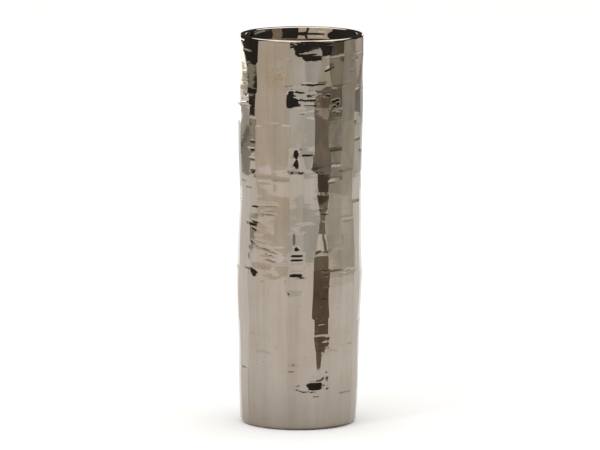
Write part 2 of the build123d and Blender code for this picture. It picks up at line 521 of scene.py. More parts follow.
    def _reach(
        self, nick: Nick, bite: Bite, z: np.ndarray, azimuth: np.ndarray, radius: float
    ) -> tuple[np.ndarray, np.ndarray]:
        """How far points lie from the middle of a mark.

        Args:
            nick: The mark.
            bite: How far it bites through the glaze.
            z: Heights, as a column.
            azimuth: Azimuths in radians, one row for each height.
            radius: Radius of the wall.

        Returns:
            Distance that is 1 on the mark's edge, and height in it from -1 to 1.
        """
        turn = (azimuth - math.radians(nick.azimuth) + math.pi) % FULL_TURN - math.pi
        side = turn * radius
        up = (z - nick.height - math.tan(math.radians(nick.slant)) * side) / nick.half_height
        wide = nick.half_width * np.clip(1.0 + nick.taper * up, self.narrowest, self.widest)
        reach = np.abs(side / wide) ** nick.corner + np.abs(up) ** min(bite.squareness, nick.corner)
        return reach, up


@dataclass(frozen=True)
class Outline:
    """Ridge radius and sideways shift of the wall from foot to lip.

    A station is a part of the height, the radius's change there and the sideways shift.
    """

    radius: float = 63.4
    stations: tuple[tuple[float, float, float], ...] = (
        (0.00, -3.4, -1.8),
        (0.05, -2.1, -1.3),
        (0.12, -1.5, -1.5),
        (0.19, -1.2, -1.5),
        (0.28, 0.2, -1.2),
        (0.35, 1.1, -0.8),
        (0.39, 1.4, -0.3),
        (0.48, 0.1, -0.3),
        (0.57, -0.7, 0.3),
        (0.70, 0.5, 0.3),
        (0.83, 1.1, 0.8),
        (0.93, 1.1, 1.2),
        (1.00, 1.4, 1.5),
    )
    softness: float = 0.018
    blur_reach: float = 2.0
    blur_steps: int = 9

    def _curve(self, column: int, level: np.ndarray, softness: float) -> np.ndarray:
        """Station values joined by a softened line.

        Args:
            column: 1 for the radius's change, 2 for the shift.
            level: Parts of the wall's height.
            softness: Part of the height that the line is softened over.

        Returns:
            One value for each level.
        """
        places = [station[0] for station in self.stations]
        values = [station[column] for station in self.stations]
        offsets = np.linspace(-self.blur_reach, self.blur_reach, self.blur_steps)
        weights = np.exp(-0.5 * offsets**2)
        total = np.zeros_like(level, dtype=float)
        for offset, weight in zip(offsets, weights / weights.sum()):
            total += weight * np.interp(level + offset * softness, places, values)
        return total

    def at(self, level: np.ndarray, softer: float = 0.0) -> tuple[np.ndarray, np.ndarray]:
        """Radius and shift at parts of the wall's height, softened more where asked."""
        soft = self.softness + softer
        return self.radius + self._curve(1, level, soft), self._curve(2, level, soft)


@dataclass
class FacetedWall:
    """The rule of the cut wall: distance of the surface for any height and azimuth.

    Each cut is a flat's width in degrees and its ledges in hundredths of the wall's height.
    A lip stroke is a flat's number and how much deeper its top stroke goes, and an eased
    stroke is a flat's and a stroke's number, where the ledge above it is nearly gone.
    """

    height: float = 406.0
    foot: float = 1.2
    first_ridge: float = -75.4
    overrun: float = 0.01
    lean_reach: float = 1.1
    ledge_overlap: float = 1.0
    ledge_softness: float = 1.5
    ledge_raggedness: float = 0.55
    ledge_tears: tuple[Wave, ...] = (Wave(1.0, 1.1, 1.0), Wave(0.7, 2.7, 1.7))
    ledge_full_step: float = 0.35
    ledge_nearness: float = 1.5
    burr: float = 0.07
    burr_rise: float = 1.4
    burr_width: float = 0.9
    face_softness: float = 0.045
    phase: float = 0.37
    wander: float = 0.22
    wander_waves: tuple[Wave, ...] = (Wave(1.0, 1.0 / 31.0, 1.0), Wave(0.5, 1.0 / 13.0, 2.0))
    turn: float = 0.8
    turn_waves: tuple[Wave, ...] = (Wave(1.0, 1.0 / 23.0, 3.0), Wave(0.6, 1.0 / 9.0, 1.0))
    lip_strokes: tuple[tuple[int, float], ...] = ((1, 0.4), (5, 0.35), (6, 0.22), (9, 0.3), (14, 0.4))
    eased: tuple[tuple[int, int], ...] = ((4, 2), (3, 1), (2, 1))
    ease: float = 5.0
    hand: Hand = field(default_factory=Hand)
    outline: Outline = field(default_factory=Outline)
    cuts: tuple[tuple[float, tuple[float, ...]], ...] = (
        (20.0, (15.0, 41.0, 62.0, 82.5)),
        (10.2, (24.0, 39.5, 52.5, 57.5, 66.0, 70.5, 79.5, 86.5, 94.0)),
        (18.4, (19.5, 42.0, 50.0, 54.5, 58.0, 65.0, 78.0)),
        (16.1, (12.0, 37.5, 42.5, 64.5, 78.0, 88.5, 95.0)),
        (14.4, (11.0, 16.5, 35.5, 39.5, 45.5, 50.5, 66.5, 72.5, 82.5, 88.0)),
        (11.3, (10.0, 24.0, 53.0, 66.5, 71.0, 80.0, 84.0, 86.5, 95.5)),
        (12.9, (13.5, 19.5, 24.0, 29.0, 46.0, 53.5, 60.5, 66.5, 86.0, 95.5)),
        (14.7, (20.0, 41.0, 46.0, 64.0, 67.5, 72.0, 82.0, 87.5, 95.5)),
        (18.0, (9.0, 21.5, 40.5, 53.5, 66.5, 88.0, 96.0)),
        (14.4, (13.0, 39.5, 58.0, 78.0, 86.5, 95.5)),
        (13.0, (8.5, 26.5, 39.5, 51.5, 64.5, 70.5, 86.5)),
        (16.0, (17.0, 38.0, 44.0, 63.5, 77.0, 93.5)),
        (15.0, (13.0, 22.0, 39.5, 57.0, 69.5, 82.0, 86.5)),
        (12.0, (7.5, 38.5, 51.5, 64.5, 77.5, 94.0)),
        (17.0, (21.5, 43.5, 64.0, 69.0, 85.5)),
        (14.6, (12.5, 26.5, 39.0, 56.5, 65.0, 82.5, 94.5)),
        (18.0, (17.5, 38.0, 51.0, 63.5, 77.0, 86.0)),
        (13.0, (8.5, 22.5, 39.5, 44.5, 64.0, 70.0, 93.0)),
        (11.0, (13.5, 38.5, 57.5, 65.5, 81.5, 85.5)),
        (16.0, (7.0, 26.0, 40.0, 50.5, 64.5, 77.5, 94.0)),
        (19.0, (17.0, 43.0, 63.0, 69.5, 86.5)),
        (14.0, (12.0, 21.0, 38.5, 56.5, 65.0, 78.0, 93.5)),
        (17.0, (8.0, 39.0, 51.5, 64.0, 85.0)),
        (14.0, (26.5, 40.5, 58.0, 69.0, 82.0, 94.0)),
    )

    def __post_init__(self) -> None:
        """Lays the strokes out on their flats."""
        self.flats: list[Flat] = []
        ridge = self.first_ridge
        for number, (width, ledges) in enumerate(self.cuts):
            levels = (-self.overrun, *(ledge / 100.0 for ledge in ledges), 1.0 + self.overrun)
            strokes = tuple(
                self._stroke(number, index, low, high)
                for index, (low, high) in enumerate(zip(levels, levels[1:]))
            )
            self.flats.append(Flat(ridge + width / 2.0, width, strokes))
            ridge += width

    def _stroke(self, flat: int, stroke: int, low: float, high: float) -> Stroke:
        """One stroke with its share of the hand's unevenness.

        Args:
            flat: Number of the flat.
            stroke: Number of the stroke on it, from the foot up.
            low: Level of its lower ledge.
            high: Level of its upper ledge.

        Returns:
            The stroke.
        """
        hand = self.hand
        under_lip = dict(self.lip_strokes).get(flat, 0.0) if high > 1.0 else 0.0
        return Stroke(
            low,
            high,
            hand.depth * hand.spread(flat, stroke, Series.DEPTH) + under_lip,
            hand.lean * hand.spread(flat, stroke, Series.LEAN) + under_lip,
            hand.yaw * hand.spread(flat, stroke, Series.YAW),
            hand.roll * hand.spread(stroke, flat, Series.ROLL),
            self.ease if (flat, stroke) in self.eased else 1.0,
        )

    def level(self, z: np.ndarray) -> np.ndarray:
        """Part of the wall's height at a height above the table."""
        return (z - self.foot) / (self.height - self.foot)

    def half_width(self, flat: Flat) -> float:
        """Half of a flat's width in millimetres."""
        return self.outline.radius * math.tan(math.radians(flat.width / 2.0))

    def tone(self, number: int) -> float:
        """How dark the glaze fired on a flat, from 0 to 1."""
        return 0.5 + 0.5 * self.hand.spread(number, 0, Series.TONE)

    def _plain(self, flat: Flat, level: np.ndarray) -> np.ndarray:
        """Distance of a flat before its strokes.

        Args:
            flat: The flat.
            level: Parts of the wall's height.

        Returns:
            Distance from the axis for each level.
        """
        turned = math.cos(math.radians(flat.azimuth)) ** 2
        radius, shift = self.outline.at(level, self.face_softness * turned)
        half = math.cos(math.radians(flat.width / 2.0))
        return radius * half + shift * math.sin(math.radians(flat.azimuth))

    def _stroke_distance(self, flat: Flat, stroke: Stroke, level: np.ndarray) -> np.ndarray:
        """Distance of one stroke's plane.

        Args:
            flat: The flat that it is on.
            stroke: The stroke.
            level: Parts of the wall's height.

        Returns:
            Distance from the axis for each level.
        """
        span = stroke.high - stroke.low
        along = np.clip(2.0 * (level - stroke.low) / span - 1.0, -self.lean_reach, self.lean_reach)
        return self._plain(flat, level) - stroke.depth - stroke.lean * along

    def _ledges(self, flat: Flat) -> list[tuple[float, float, float, float]]:
        """Where the ledges of a flat run.

        Args:
            flat: The flat.

        Returns:
            Height at the middle, slope, step and ease of each ledge.
        """
        ledges = []
        for lower, upper in zip(flat.strokes, flat.strokes[1:]):
            level = np.array([lower.high])
            below = self._stroke_distance(flat, lower, level)[0]
            above = self._stroke_distance(flat, upper, level)[0]
            deeper, side = (lower, 1.0) if below < above else (upper, -1.0)
            z = self.foot + lower.high * (self.height - self.foot)
            slope = math.tan(math.radians(deeper.roll))
            ledges.append((z + side * self.ledge_overlap, slope, abs(above - below), lower.ease))
        return ledges

    def surface(self, flat: Flat, z: np.ndarray, across: np.ndarray) -> tuple[np.ndarray, ...]:
        """Distance and facing of a flat, and how near its ledges are.

        Args:
            flat: The flat.
            z: Heights, as a column.
            across: Places across the flat in millimetres, as a row.

        Returns:
            Distance, azimuth it faces and nearness of a ledge from 0 to 1.
        """
        level = self.level(z)
        first = flat.strokes[0]
        distance = self._stroke_distance(flat, first, level) + np.zeros_like(across)
        facing = np.full_like(distance, flat.azimuth + first.yaw)
        near = np.zeros_like(distance)
        for stroke, (middle, slope, step, ease) in zip(flat.strokes[1:], self._ledges(flat)):
            torn = sum(tear.at(across, middle) for tear in self.ledge_tears)
            away = z - middle - slope * across - self.ledge_raggedness * torn
            share = soften(np.clip(away / (self.ledge_softness * ease) + 0.5, 0.0, 1.0))
            distance += share * (self._stroke_distance(flat, stroke, level) - distance)
            facing += share * (flat.azimuth + stroke.yaw - facing)
            strength = min(step / self.ledge_full_step, 1.0) / ease**2
            near = np.maximum(near, np.exp(-((away / self.ledge_nearness) ** 2)) * strength)
            burr = np.exp(-(((away - self.burr_rise) / self.burr_width) ** 2))
            distance += self.burr * strength * burr
        phase = flat.azimuth * self.phase
        distance += self.wander * sum(wave.at(z, phase) for wave in self.wander_waves)
        facing += self.turn * sum(wave.at(z, phase) for wave in self.turn_waves)
        return distance, facing, near


# ------------------------------------------------------------------ meshes
class MeshWriter:
    """Turns rings of points into a closed mesh with point attributes."""

    def __init__(self, name: str) -> None:
        """Starts an empty mesh.

        Args:
            name: Name of the mesh.
        """
        self.name = name
        self.rings: list[np.ndarray] = []
        self.marks: list[dict[str, np.ndarray]] = []

    def ring(self, points: np.ndarray, **marks: np.ndarray) -> None:
        """Adds a closed ring.

        Args:
            points: One point in each row, in millimetres.
            marks: Attribute values, one for each point.
        """
        self.rings.append(points)
        self.marks.append(marks)

    def mesh(self, marks: tuple[str, ...]) -> bpy.types.Mesh:
        """Writes the mesh, with a pole at each end.

        Args:
            marks: Names of the attributes to store; missing values are 0.

        Returns:
            The mesh, in metres.
        """
        count = len(self.rings[0])
        rings = np.stack(self.rings)
        poles = np.stack([rings[0].mean(axis=0), rings[-1].mean(axis=0)])
        points = np.concatenate([rings.reshape(-1, 3), poles]) * MM
        start, end = len(points) - 2, len(points) - 1
        column = np.arange(count)
        beside = (column + 1) % count
        faces: list[list[int]] = []
        for row in range(len(rings) - 1):
            low, high = row * count, (row + 1) * count
            quads = np.stack([low + column, low + beside, high + beside, high + column], axis=1)
            faces.extend(quads.tolist())
        last = (len(rings) - 1) * count
        faces.extend([[start, int(b), int(a)] for a, b in zip(column, beside)])
        faces.extend([[last + int(a), last + int(b), end] for a, b in zip(column, beside)])

        mesh = bpy.data.meshes.new(self.name)
        mesh.from_pydata(points.tolist(), [], faces)
        for mark in marks:
            values = [ring.get(mark, np.zeros(count)) for ring in self.marks]
            flat = np.concatenate([*values, np.zeros(2)]).astype(np.float32)
            mesh.attributes.new(mark, "FLOAT", "POINT").data.foreach_set("value", flat)
        mesh.update()
        return mesh


@dataclass(frozen=True)
class Ring:
    """A level ring of a smooth part, whose inner share says how far inside the mouth it is."""

    radius: float
    shift: float
    z: float
    inner: float = 0.0


@dataclass
class VesselShape:
    """Sizes of the whole vessel around the cut wall, and the making of its mesh.

    Turns and parts give a first value, a last value and a number of rings. Pairs along a
    round give how far a ring lies from the edge and how far above or below the face.
    """

    wall: FacetedWall = field(default_factory=FacetedWall)
    marks: ChiselMarks = field(default_factory=ChiselMarks)
    rows_apart: float = 0.9
    first_row: float = 0.5
    inner_rows_apart: float = 9.0
    bore: float = 54.0
    floor: float = 12.2
    floor_fillet: float = 6.0
    floor_turns: tuple[float, float, int] = (15.0, 90.0, 6)
    floor_rings: tuple[float, ...] = (34.0, 18.0, 6.0)
    lip_edge: float = 62.2
    lip_round: tuple[float, float] = (2.6, 4.4)
    lip_turns: tuple[float, float, int] = (0.0, 84.0, 13)
    lip_draft: float = 0.8
    lip_land: tuple[tuple[float, float], ...] = ((0.12, 0.02), (0.4, 0.0), (0.7, 0.03))
    lip_shift: float = 1.5
    mouth: float = 58.4
    mouth_round: float = 1.2
    mouth_turns: tuple[float, float, int] = (0.0, 80.0, 6)
    mouth_drop: float = 0.03
    mouth_spread: float = 0.3
    mouth_spread_turn: float = 1.4
    flare: float = 13.0
    flare_parts: tuple[float, float, int] = (0.1, 1.0, 9)
    foot_edge: float = 58.4
    foot_round: tuple[tuple[float, float], ...] = ((1.2, 0.0), (0.3, 0.08))
    foot_rings: tuple[float, ...] = (45.0, 52.0)
    foot_shift: float = -1.8
    recess: float = 36.5
    recess_depth: float = 1.5
    recess_rings: tuple[float, ...] = (6.0, 20.0)
    recess_ceiling: tuple[tuple[float, float], ...] = ((-1.0, 0.0), (-0.2, 0.2), (0.0, 0.6))
    recess_edge: tuple[tuple[float, float], ...] = ((0.1, 0.35), (0.5, 0.05), (1.2, 0.0))
    edge_softness: float = 0.7
    edge_fade: float = 2.0
    ridge_share: float = 0.12
    columns: tuple[float, ...] = (0.0, 0.06, 0.3, 0.5, 0.7, 0.94)
    fine_columns: tuple[float, ...] = (0.0, 0.05, 0.16, 0.28, 0.41, 0.54, 0.67, 0.8, 0.94)
    fine_flats: tuple[int, ...] = (1, 2, 3, 4, 5, 6, 7, 8)

    def _blank_radius(self, z: np.ndarray) -> tuple[np.ndarray, np.ndarray]:
        """The round blank that the flats are cut from.

        Args:
            z: Heights.

        Returns:
            Its radius and its sideways shift at each height.
        """
        top = self.wall.height
        width, tall = self.lip_round
        start = top - tall
        rise = np.clip((z - start) / tall, 0.0, 1.0)
        lip = self.lip_edge + width * np.sqrt(np.clip(1.0 - rise**2, 0.0, 1.0))
        lip += np.clip(start - z, 0.0, None) * self.lip_draft
        foot = self.foot_edge + np.clip(z - self.wall.foot, 0.0, None)
        low = z < top / 2.0
        return np.where(low, foot, lip), np.where(low, self.foot_shift, self.lip_shift)

    @staticmethod
    def _on_circle(radius: np.ndarray, shift: np.ndarray, azimuth: np.ndarray) -> np.ndarray:
        """Distance from the axis to a circle whose centre is shifted to +X."""
        side = shift * np.sin(azimuth)
        return side + np.sqrt(radius**2 - (shift * np.cos(azimuth)) ** 2)

    @staticmethod
    def _points(azimuth: np.ndarray, distance: np.ndarray, z: float) -> np.ndarray:
        """Points at a height, from their azimuths and distances from the axis."""
        level = np.full_like(azimuth, z)
        return np.stack([distance * np.sin(azimuth), -distance * np.cos(azimuth), level], axis=1)

    def _ridges(self, z: np.ndarray) -> list[np.ndarray]:
        """Where each flat meets the one before it.

        Args:
            z: Heights, as a column.

        Returns:
            Azimuth in radians of each ridge at each height.
        """
        wall = self.wall
        ridges = []
        for number, flat in enumerate(wall.flats):
            before = wall.flats[number - 1]
            first, facing_a, _ = wall.surface(before, z, np.array([[wall.half_width(before)]]))
            second, facing_b, _ = wall.surface(flat, z, np.array([[-wall.half_width(flat)]]))
            back = 360.0 if number == 0 else 0.0
            a, b = np.radians(facing_a - back), np.radians(facing_b)
            ridge = np.arctan2(
                second * np.cos(a) - first * np.cos(b), first * np.sin(b) - second * np.sin(a)
            )
            middle = math.radians(flat.azimuth - flat.width / 2.0)
            ridges.append(middle + (ridge - middle + math.pi) % FULL_TURN - math.pi)
        return ridges

    def _wall_grid(self, heights: np.ndarray) -> dict[str, np.ndarray]:
        """Azimuth, distance and marks of the wall's points.

        Args:
            heights: Height of each row.

        Returns:
            Arrays of one row for each height and one column for each place round the wall.
        """
        wall = self.wall
        z = heights[:, None]
        ridges = self._ridges(z)
        ridges.append(ridges[0] + FULL_TURN)
        parts: dict[str, list[np.ndarray]] = {}
        for number, flat in enumerate(wall.flats):
            left, right = ridges[number], ridges[number + 1]
            share = np.array([self.fine_columns if number in self.fine_flats else self.columns])
            azimuth = left + (right - left) * share
            across = 2.0 * share - 1.0
            distance, facing, near = wall.surface(flat, z, across * wall.half_width(flat))
            flat_grid = {
                "azimuth": azimuth,
                "distance": distance / np.cos(azimuth - np.radians(facing)),
                "across": np.broadcast_to(across, azimuth.shape),
                "ledge": near,
                "tone": np.full_like(near, wall.tone(number)),
            }
            for name, values in flat_grid.items():
                parts.setdefault(name, []).append(values)
        return {name: np.concatenate(values, axis=1) for name, values in parts.items()}

    def _heights(self) -> np.ndarray:
        """Heights of the wall's rows.

        Returns:
            Heights from foot to lip, closer together over the lip's round.
        """
        tall = self.lip_round[1]
        low = self.wall.foot + self.first_row
        start = self.wall.height - tall
        count = int((start - low) / self.rows_apart)
        plain = np.linspace(low, start, count, endpoint=False)
        return np.concatenate([plain, start + tall * np.sin(np.radians(np.linspace(*self.lip_turns)))])

    def _underside(self) -> Iterator[Ring]:
        """Rings from the middle of the recess to the edge of the foot.

        Returns:
            The rings, in order.
        """
        foot = self.wall.foot
        ceiling = foot + self.recess_depth
        for radius in self.recess_rings:
            yield Ring(radius, 0.0, ceiling)
        for out, drop in self.recess_ceiling:
            yield Ring(self.recess + out, 0.0, ceiling - drop)
        for out, rise in self.recess_edge:
            yield Ring(self.recess + out, 0.0, foot + rise)
        for radius in self.foot_rings:
            yield Ring(radius, 0.0, foot)
        for back, rise in self.foot_round:
            yield Ring(self.foot_edge - back, self.foot_shift, foot + rise)

    def _inside(self) -> Iterator[Ring]:
        """Rings over the lip, down the bore and across the floor.

        Returns:
            The rings, in order.
        """
        top, shift = self.wall.height, self.lip_shift
        for part, drop in self.lip_land:
            yield Ring(self.lip_edge - (self.lip_edge - self.mouth) * part, shift, top - drop, part)
        for turn in np.radians(np.linspace(*self.mouth_turns)):
            radius = self.mouth - self.mouth_round * math.sin(turn)
            spread = self.mouth_spread * (1.0 - turn / self.mouth_spread_turn)
            z = top - self.mouth_round * (1.0 - math.cos(turn)) - self.mouth_drop
            yield Ring(radius + spread, shift, z, 1.0)
        throat = self.mouth - self.mouth_round
        for part in np.linspace(*self.flare_parts):
            ease = soften(part)
            z = top - self.mouth_round - (self.flare - self.mouth_round) * part
            yield Ring(throat + (self.bore - throat) * ease, shift * (1.0 - ease), z, 1.0)
        start, bottom = top - self.flare, self.floor + self.floor_fillet
        for z in np.linspace(start, bottom, int((start - bottom) / self.inner_rows_apart))[1:]:
            yield Ring(self.bore, 0.0, z, 1.0)
        for turn in np.radians(np.linspace(*self.floor_turns)):
            radius = self.bore - self.floor_fillet * (1.0 - math.cos(turn))
            yield Ring(radius, 0.0, bottom - self.floor_fillet * math.sin(turn), 1.0)
        for radius in self.floor_rings:
            yield Ring(radius, 0.0, self.floor, 1.0)

    def _write(self, writer: MeshWriter, rings: Iterator[Ring], azimuth: np.ndarray) -> None:
        """Adds smooth rings to the mesh.

        Args:
            writer: Where they go.
            rings: The rings, in order.
            azimuth: Azimuths of their points.
        """
        for ring in rings:
            distance = self._on_circle(np.array(ring.radius), np.array(ring.shift), azimuth)
            points = self._points(azimuth, distance, ring.z)
            writer.ring(points, inner=np.full_like(azimuth, ring.inner))

    def mesh(self) -> bpy.types.Mesh:
        """The whole vessel, closed, with its marks.

        Returns:
            The mesh, before the hand's finish.
        """
        heights = self._heights()
        z = heights[:, None]
        grid = self._wall_grid(heights)
        deep, grid["painted_reflection_mask"], grid["scored"] = self.marks.scoops(z, grid["azimuth"], self.wall.outline.radius)
        cut = grid.pop("distance") - deep
        blank = self._on_circle(*self._blank_radius(z), grid["azimuth"])
        distance = 0.5 * (cut + blank - np.sqrt((cut - blank) ** 2 + self.edge_softness**2))
        grid["ridge"] = np.clip(1.0 - (1.0 - np.abs(grid["across"])) / self.ridge_share, 0.0, 1.0)
        grid["wall"] = np.clip((blank - cut) / self.edge_fade, 0.0, 1.0)
        around = grid.pop("azimuth")

        writer = MeshWriter("vase_glazed")
        self._write(writer, self._underside(), around[0])
        for row, height in enumerate(heights):
            points = self._points(around[row], distance[row], height)
            writer.ring(points, **{mark: values[row] for mark, values in grid.items()})
        self._write(writer, self._inside(), around[-1])
        return writer.mesh((*grid, "inner"))


# ------------------------------------------------------------------ finishes
def new_material(name: str) -> tuple[bpy.types.Material, Tree]:
    """Opens a material with an empty tree.

    Args:
        name: Name of the material.

    Returns:
        The material and its tree.
    """
    material = bpy.data.materials.new(name)
    material.use_nodes = True
    return material, Tree(material.node_tree)


class Finish:
    """A material made of nodes on the object's own coordinates."""

    name = "finish"

    def build(self) -> bpy.types.Material:
        """Makes the material.

        Returns:
            The material.
        """
        material, tree = new_material(self.name)
        place = tree.node("ShaderNodeTexCoord", {}, {}).outputs["Object"]
        shader = tree.node("ShaderNodeBsdfPrincipled", {}, {})
        tree.node("ShaderNodeOutputMaterial", {}, {"Surface": shader.outputs[0]})
        self.paint(tree, place, shader)
        return material

    def paint(self, tree: Tree, place: Any, shader: bpy.types.Node) -> None:
        """Fills the shader's sockets; each finish has its own."""
        raise NotImplementedError

    @staticmethod
    def dress(tree: Tree, shader: bpy.types.Node, values: dict[str, Any]) -> None:
        """Fills sockets of the shader by name."""
        for socket, value in values.items():
            tree.fill(shader.inputs[socket], value)


@dataclass(frozen=True)
class MirrorGlaze(Finish):
    """Warm silver mirror glaze that leaves the clay bare under the foot, with painted shade towards the foot
    and painted dark reflections in the chisel marks.

    Heights and depths are in metres here, and pinhole cells are counted for each metre. An
    amber spot is a place and its size.
    """

    name = "mirror_glaze"
    silver: Colour = (0.402, 0.354, 0.308, 1.0)
    warm: Colour = (0.379, 0.324, 0.269, 1.0)
    amber: Colour = (0.33, 0.215, 0.085, 1.0)
    amber_share: float = 0.75
    amber_core: float = 0.4
    amber_spots: tuple[tuple[float, float, float, float], ...] = (
        (-0.028, -0.057, 0.367, 0.013),
        (-0.019, -0.061, 0.371, 0.010),
        (-0.038, -0.051, 0.277, 0.006),
        (0.041, 0.049, 0.120, 0.011),
    )
    # Darker glaze where it pools at ledges, ridges, streaks and random flat tones; the same colour is also
    # used as painted shade towards the foot.
    pooled_and_painted_shade: Colour = (0.20, 0.165, 0.135, 1.0)
    ledge_pool: float = 0.25
    # Painted shade: how much darker the glaze is painted towards the foot, and the heights in metres it
    # fades over.
    foot_painted_shade: float = 0.34
    foot_painted_shade_zone: tuple[float, float] = (0.001, 0.07)
    tone_pool: float = 0.16
    ridge_pool: float = 0.07
    streak_pool: float = 0.16
    # Near-black for the pinholes, and the painted dark reflection in the deep chisel marks.
    pit_body_and_painted_reflection: Colour = (0.012, 0.01, 0.009, 1.0)
    painted_reflection_share: float = 0.97
    painted_reflection_torn: float = 0.35
    painted_reflection_edge: tuple[float, float] = (0.12, 0.2)
    # Painted dark reflection along the scored lines.
    scored_painted_reflection: Colour = (0.05, 0.04, 0.03, 1.0)
    scored_share: float = 0.72
    scored_torn: float = 0.9
    scored_edge: tuple[float, float] = (0.1, 0.4)
    clay: Colour = (0.33, 0.25, 0.18, 1.0)
    dark_clay: Colour = (0.2, 0.145, 0.1, 1.0)
    clay_line: tuple[float, float] = (0.0013, 0.0019)
    clay_line_wander: float = 0.0012
    pinhole_cells: float = 210.0
    pinhole_rarity: float = 0.93
    pinhole_edge: tuple[float, float] = (0.05, 0.11)
    pinhole_share: float = 0.85
    gloss: float = 0.035
    haze_rough: float = 0.03
    ledge_rough: float = 0.05
    ridge_rough: float = 0.015
    pinhole_rough: float = 0.3
    bare_rough: float = 0.4
    clay_rough: float = 0.85
    peel_depth: float = 0.0000045
    ripple_depth: float = 0.00002
    drag_depth: float = 0.000007
    chatter_depth: float = 0.000016
    pinhole_depth: float = 0.00006
    clay_depth: float = 0.00012
    cloud: Grain = Grain(26.0, 3.0, 3.0, 0.55, (0.38, 0.66))
    haze: Grain = Grain(90.0, 9.0, 3.0, 0.6, (0.5, 0.8))
    speck: Grain = Grain(1400.0, 5.0, 2.0, 0.6, (0.42, 0.7))
    peel: Grain = Grain(420.0, 1.0)
    fleck: Grain = Grain(520.0, 8.0, 2.0, 0.6, (0.50, 0.62))
    torn: Grain = Grain(700.0, 12.0, 2.0, 0.6)
    streak: Grain = Grain(170.0, 15.0, patches=(0.44, 0.68), stretch=(1.0, 1.0, 0.05))
    drag: Grain = Grain(620.0, 15.0, stretch=(1.0, 1.0, 0.05))
    chatter: Grain = Grain(300.0, 15.0, stretch=(0.16, 0.16, 1.0))

    def paint(self, tree: Tree, place: Any, shader: bpy.types.Node) -> None:
        """Glaze colour with painted shade towards the foot and painted dark reflections in the chisel marks,
        haze, pinholes and bare clay.

        Args:
            tree: The material's tree.
            place: Object coordinates.
            shader: The Principled shader.
        """
        height = tree.number(tree.node("ShaderNodeSeparateXYZ", {}, {"Vector": place}), 2)
        ledge, ridge = self._mark(tree, "ledge"), self._mark(tree, "ridge")
        cloud, haze, speck = (grain.on(tree, place) for grain in (self.cloud, self.haze, self.speck))
        torn = self.torn.on(tree, place) - 0.5
        # Painted dark reflection: mask of the deep chisel marks, whose colour is painted near-black below.
        painted_reflection_mask = (self._mark(tree, "painted_reflection_mask") + torn * self.painted_reflection_torn).ramp(*self.painted_reflection_edge)
        pinhole = self._pinhole(tree, place)
        bare = 1.0 - (height + (haze - 0.5) * self.clay_line_wander).ramp(*self.clay_line)

        colour = tree.tint(cloud.ramp(*self.cloud.patches), self.silver, self.warm)
        tone = self._mark(tree, "tone") * self.tone_pool + ridge * self.ridge_pool
        streak = self.streak.on(tree, place).ramp(*self.streak.patches) * self.streak_pool
        # Painted shade: the glaze colour is painted darker towards the foot.
        foot = height.ramp(*self.foot_painted_shade_zone, self.foot_painted_shade, 0.0)
        for pool in (ledge * self.ledge_pool, foot, tone, streak):
            colour = tree.tint(pool, colour, self.pooled_and_painted_shade)
        fleck = self.fleck.on(tree, place).ramp(*self.fleck.patches)
        colour = tree.tint(self._bloom(tree, place) * fleck * self.amber_share, colour, self.amber)
        colour = tree.tint(pinhole * self.pinhole_share, colour, self.pit_body_and_painted_reflection)
        # Painted dark reflection: mask of the scored lines, painted dark below.
        scored = (self._mark(tree, "scored") + torn * self.scored_torn).ramp(*self.scored_edge)
        colour = tree.tint(scored * self.scored_share, colour, self.scored_painted_reflection)
        # Painted dark reflection in the deep chisel marks.
        colour = tree.tint(painted_reflection_mask * self.painted_reflection_share, colour, self.pit_body_and_painted_reflection)
        clay = tree.tint(speck.ramp(*self.speck.patches), self.clay, self.dark_clay)

        rough = self.gloss + haze.ramp(*self.haze.patches) * self.haze_rough + ledge * self.ledge_rough
        rough = rough + ridge * self.ridge_rough + pinhole * self.pinhole_rough + painted_reflection_mask * self.bare_rough
        bumps = self.peel.on(tree, place) * self.peel_depth + cloud * self.ripple_depth
        bumps = bumps - pinhole * self.pinhole_depth + self.drag.on(tree, place) * self.drag_depth
        bumps = bumps + self.chatter.on(tree, place) * self.chatter_depth
        bumps = bumps * (1.0 - bare) + bare * (speck * self.clay_depth)
        bump = tree.node("ShaderNodeBump", {}, {"Strength": 1.0, "Distance": 1.0, "Height": bumps})
        self.dress(
            tree,
            shader,
            {
                "Base Color": tree.tint(bare, colour, clay),
                "Metallic": 1.0 - bare,
                "Roughness": rough * (1.0 - bare) + bare * self.clay_rough,
                "Normal": bump.outputs[0],
            },
        )

    def _pinhole(self, tree: Tree, place: Any) -> Num:
        """Mask of the finest pinholes, too small for a mesh.

        Args:
            tree: The material's tree.
            place: Object coordinates.

        Returns:
            1 in a pinhole and 0 outside.
        """
        cells = tree.node(
            "ShaderNodeTexVoronoi",
            {"feature": "F1"},
            {"Vector": place, "Scale": self.pinhole_cells, "Randomness": 1.0},
        )
        rare = tree.number(tree.node("ShaderNodeSeparateColor", {}, {"Color": cells.outputs["Color"]}))
        return (1.0 - tree.number(cells, "Distance").ramp(*self.pinhole_edge)) * (rare > self.pinhole_rarity)

    def _bloom(self, tree: Tree, place: Any) -> Num:
        """Soft mask of the few places where the glaze bloomed amber.

        Args:
            tree: The material's tree.
            place: Object coordinates.

        Returns:
            1 in the middle of each place.
        """
        mask: Any = 0.0
        for *middle, size in self.amber_spots:
            away = tree.node("ShaderNodeVectorMath", {"operation": "DISTANCE"}, {0: place, 1: tuple(middle)})
            mask = tree.number(away, "Value").ramp(size * self.amber_core, size, 1.0, 0.0) + mask
        return mask

    @staticmethod
    def _mark(tree: Tree, name: str) -> Num:
        """One of the mesh's own marks."""
        return tree.number(tree.node("ShaderNodeAttribute", {"attribute_name": name}, {}), "Fac")


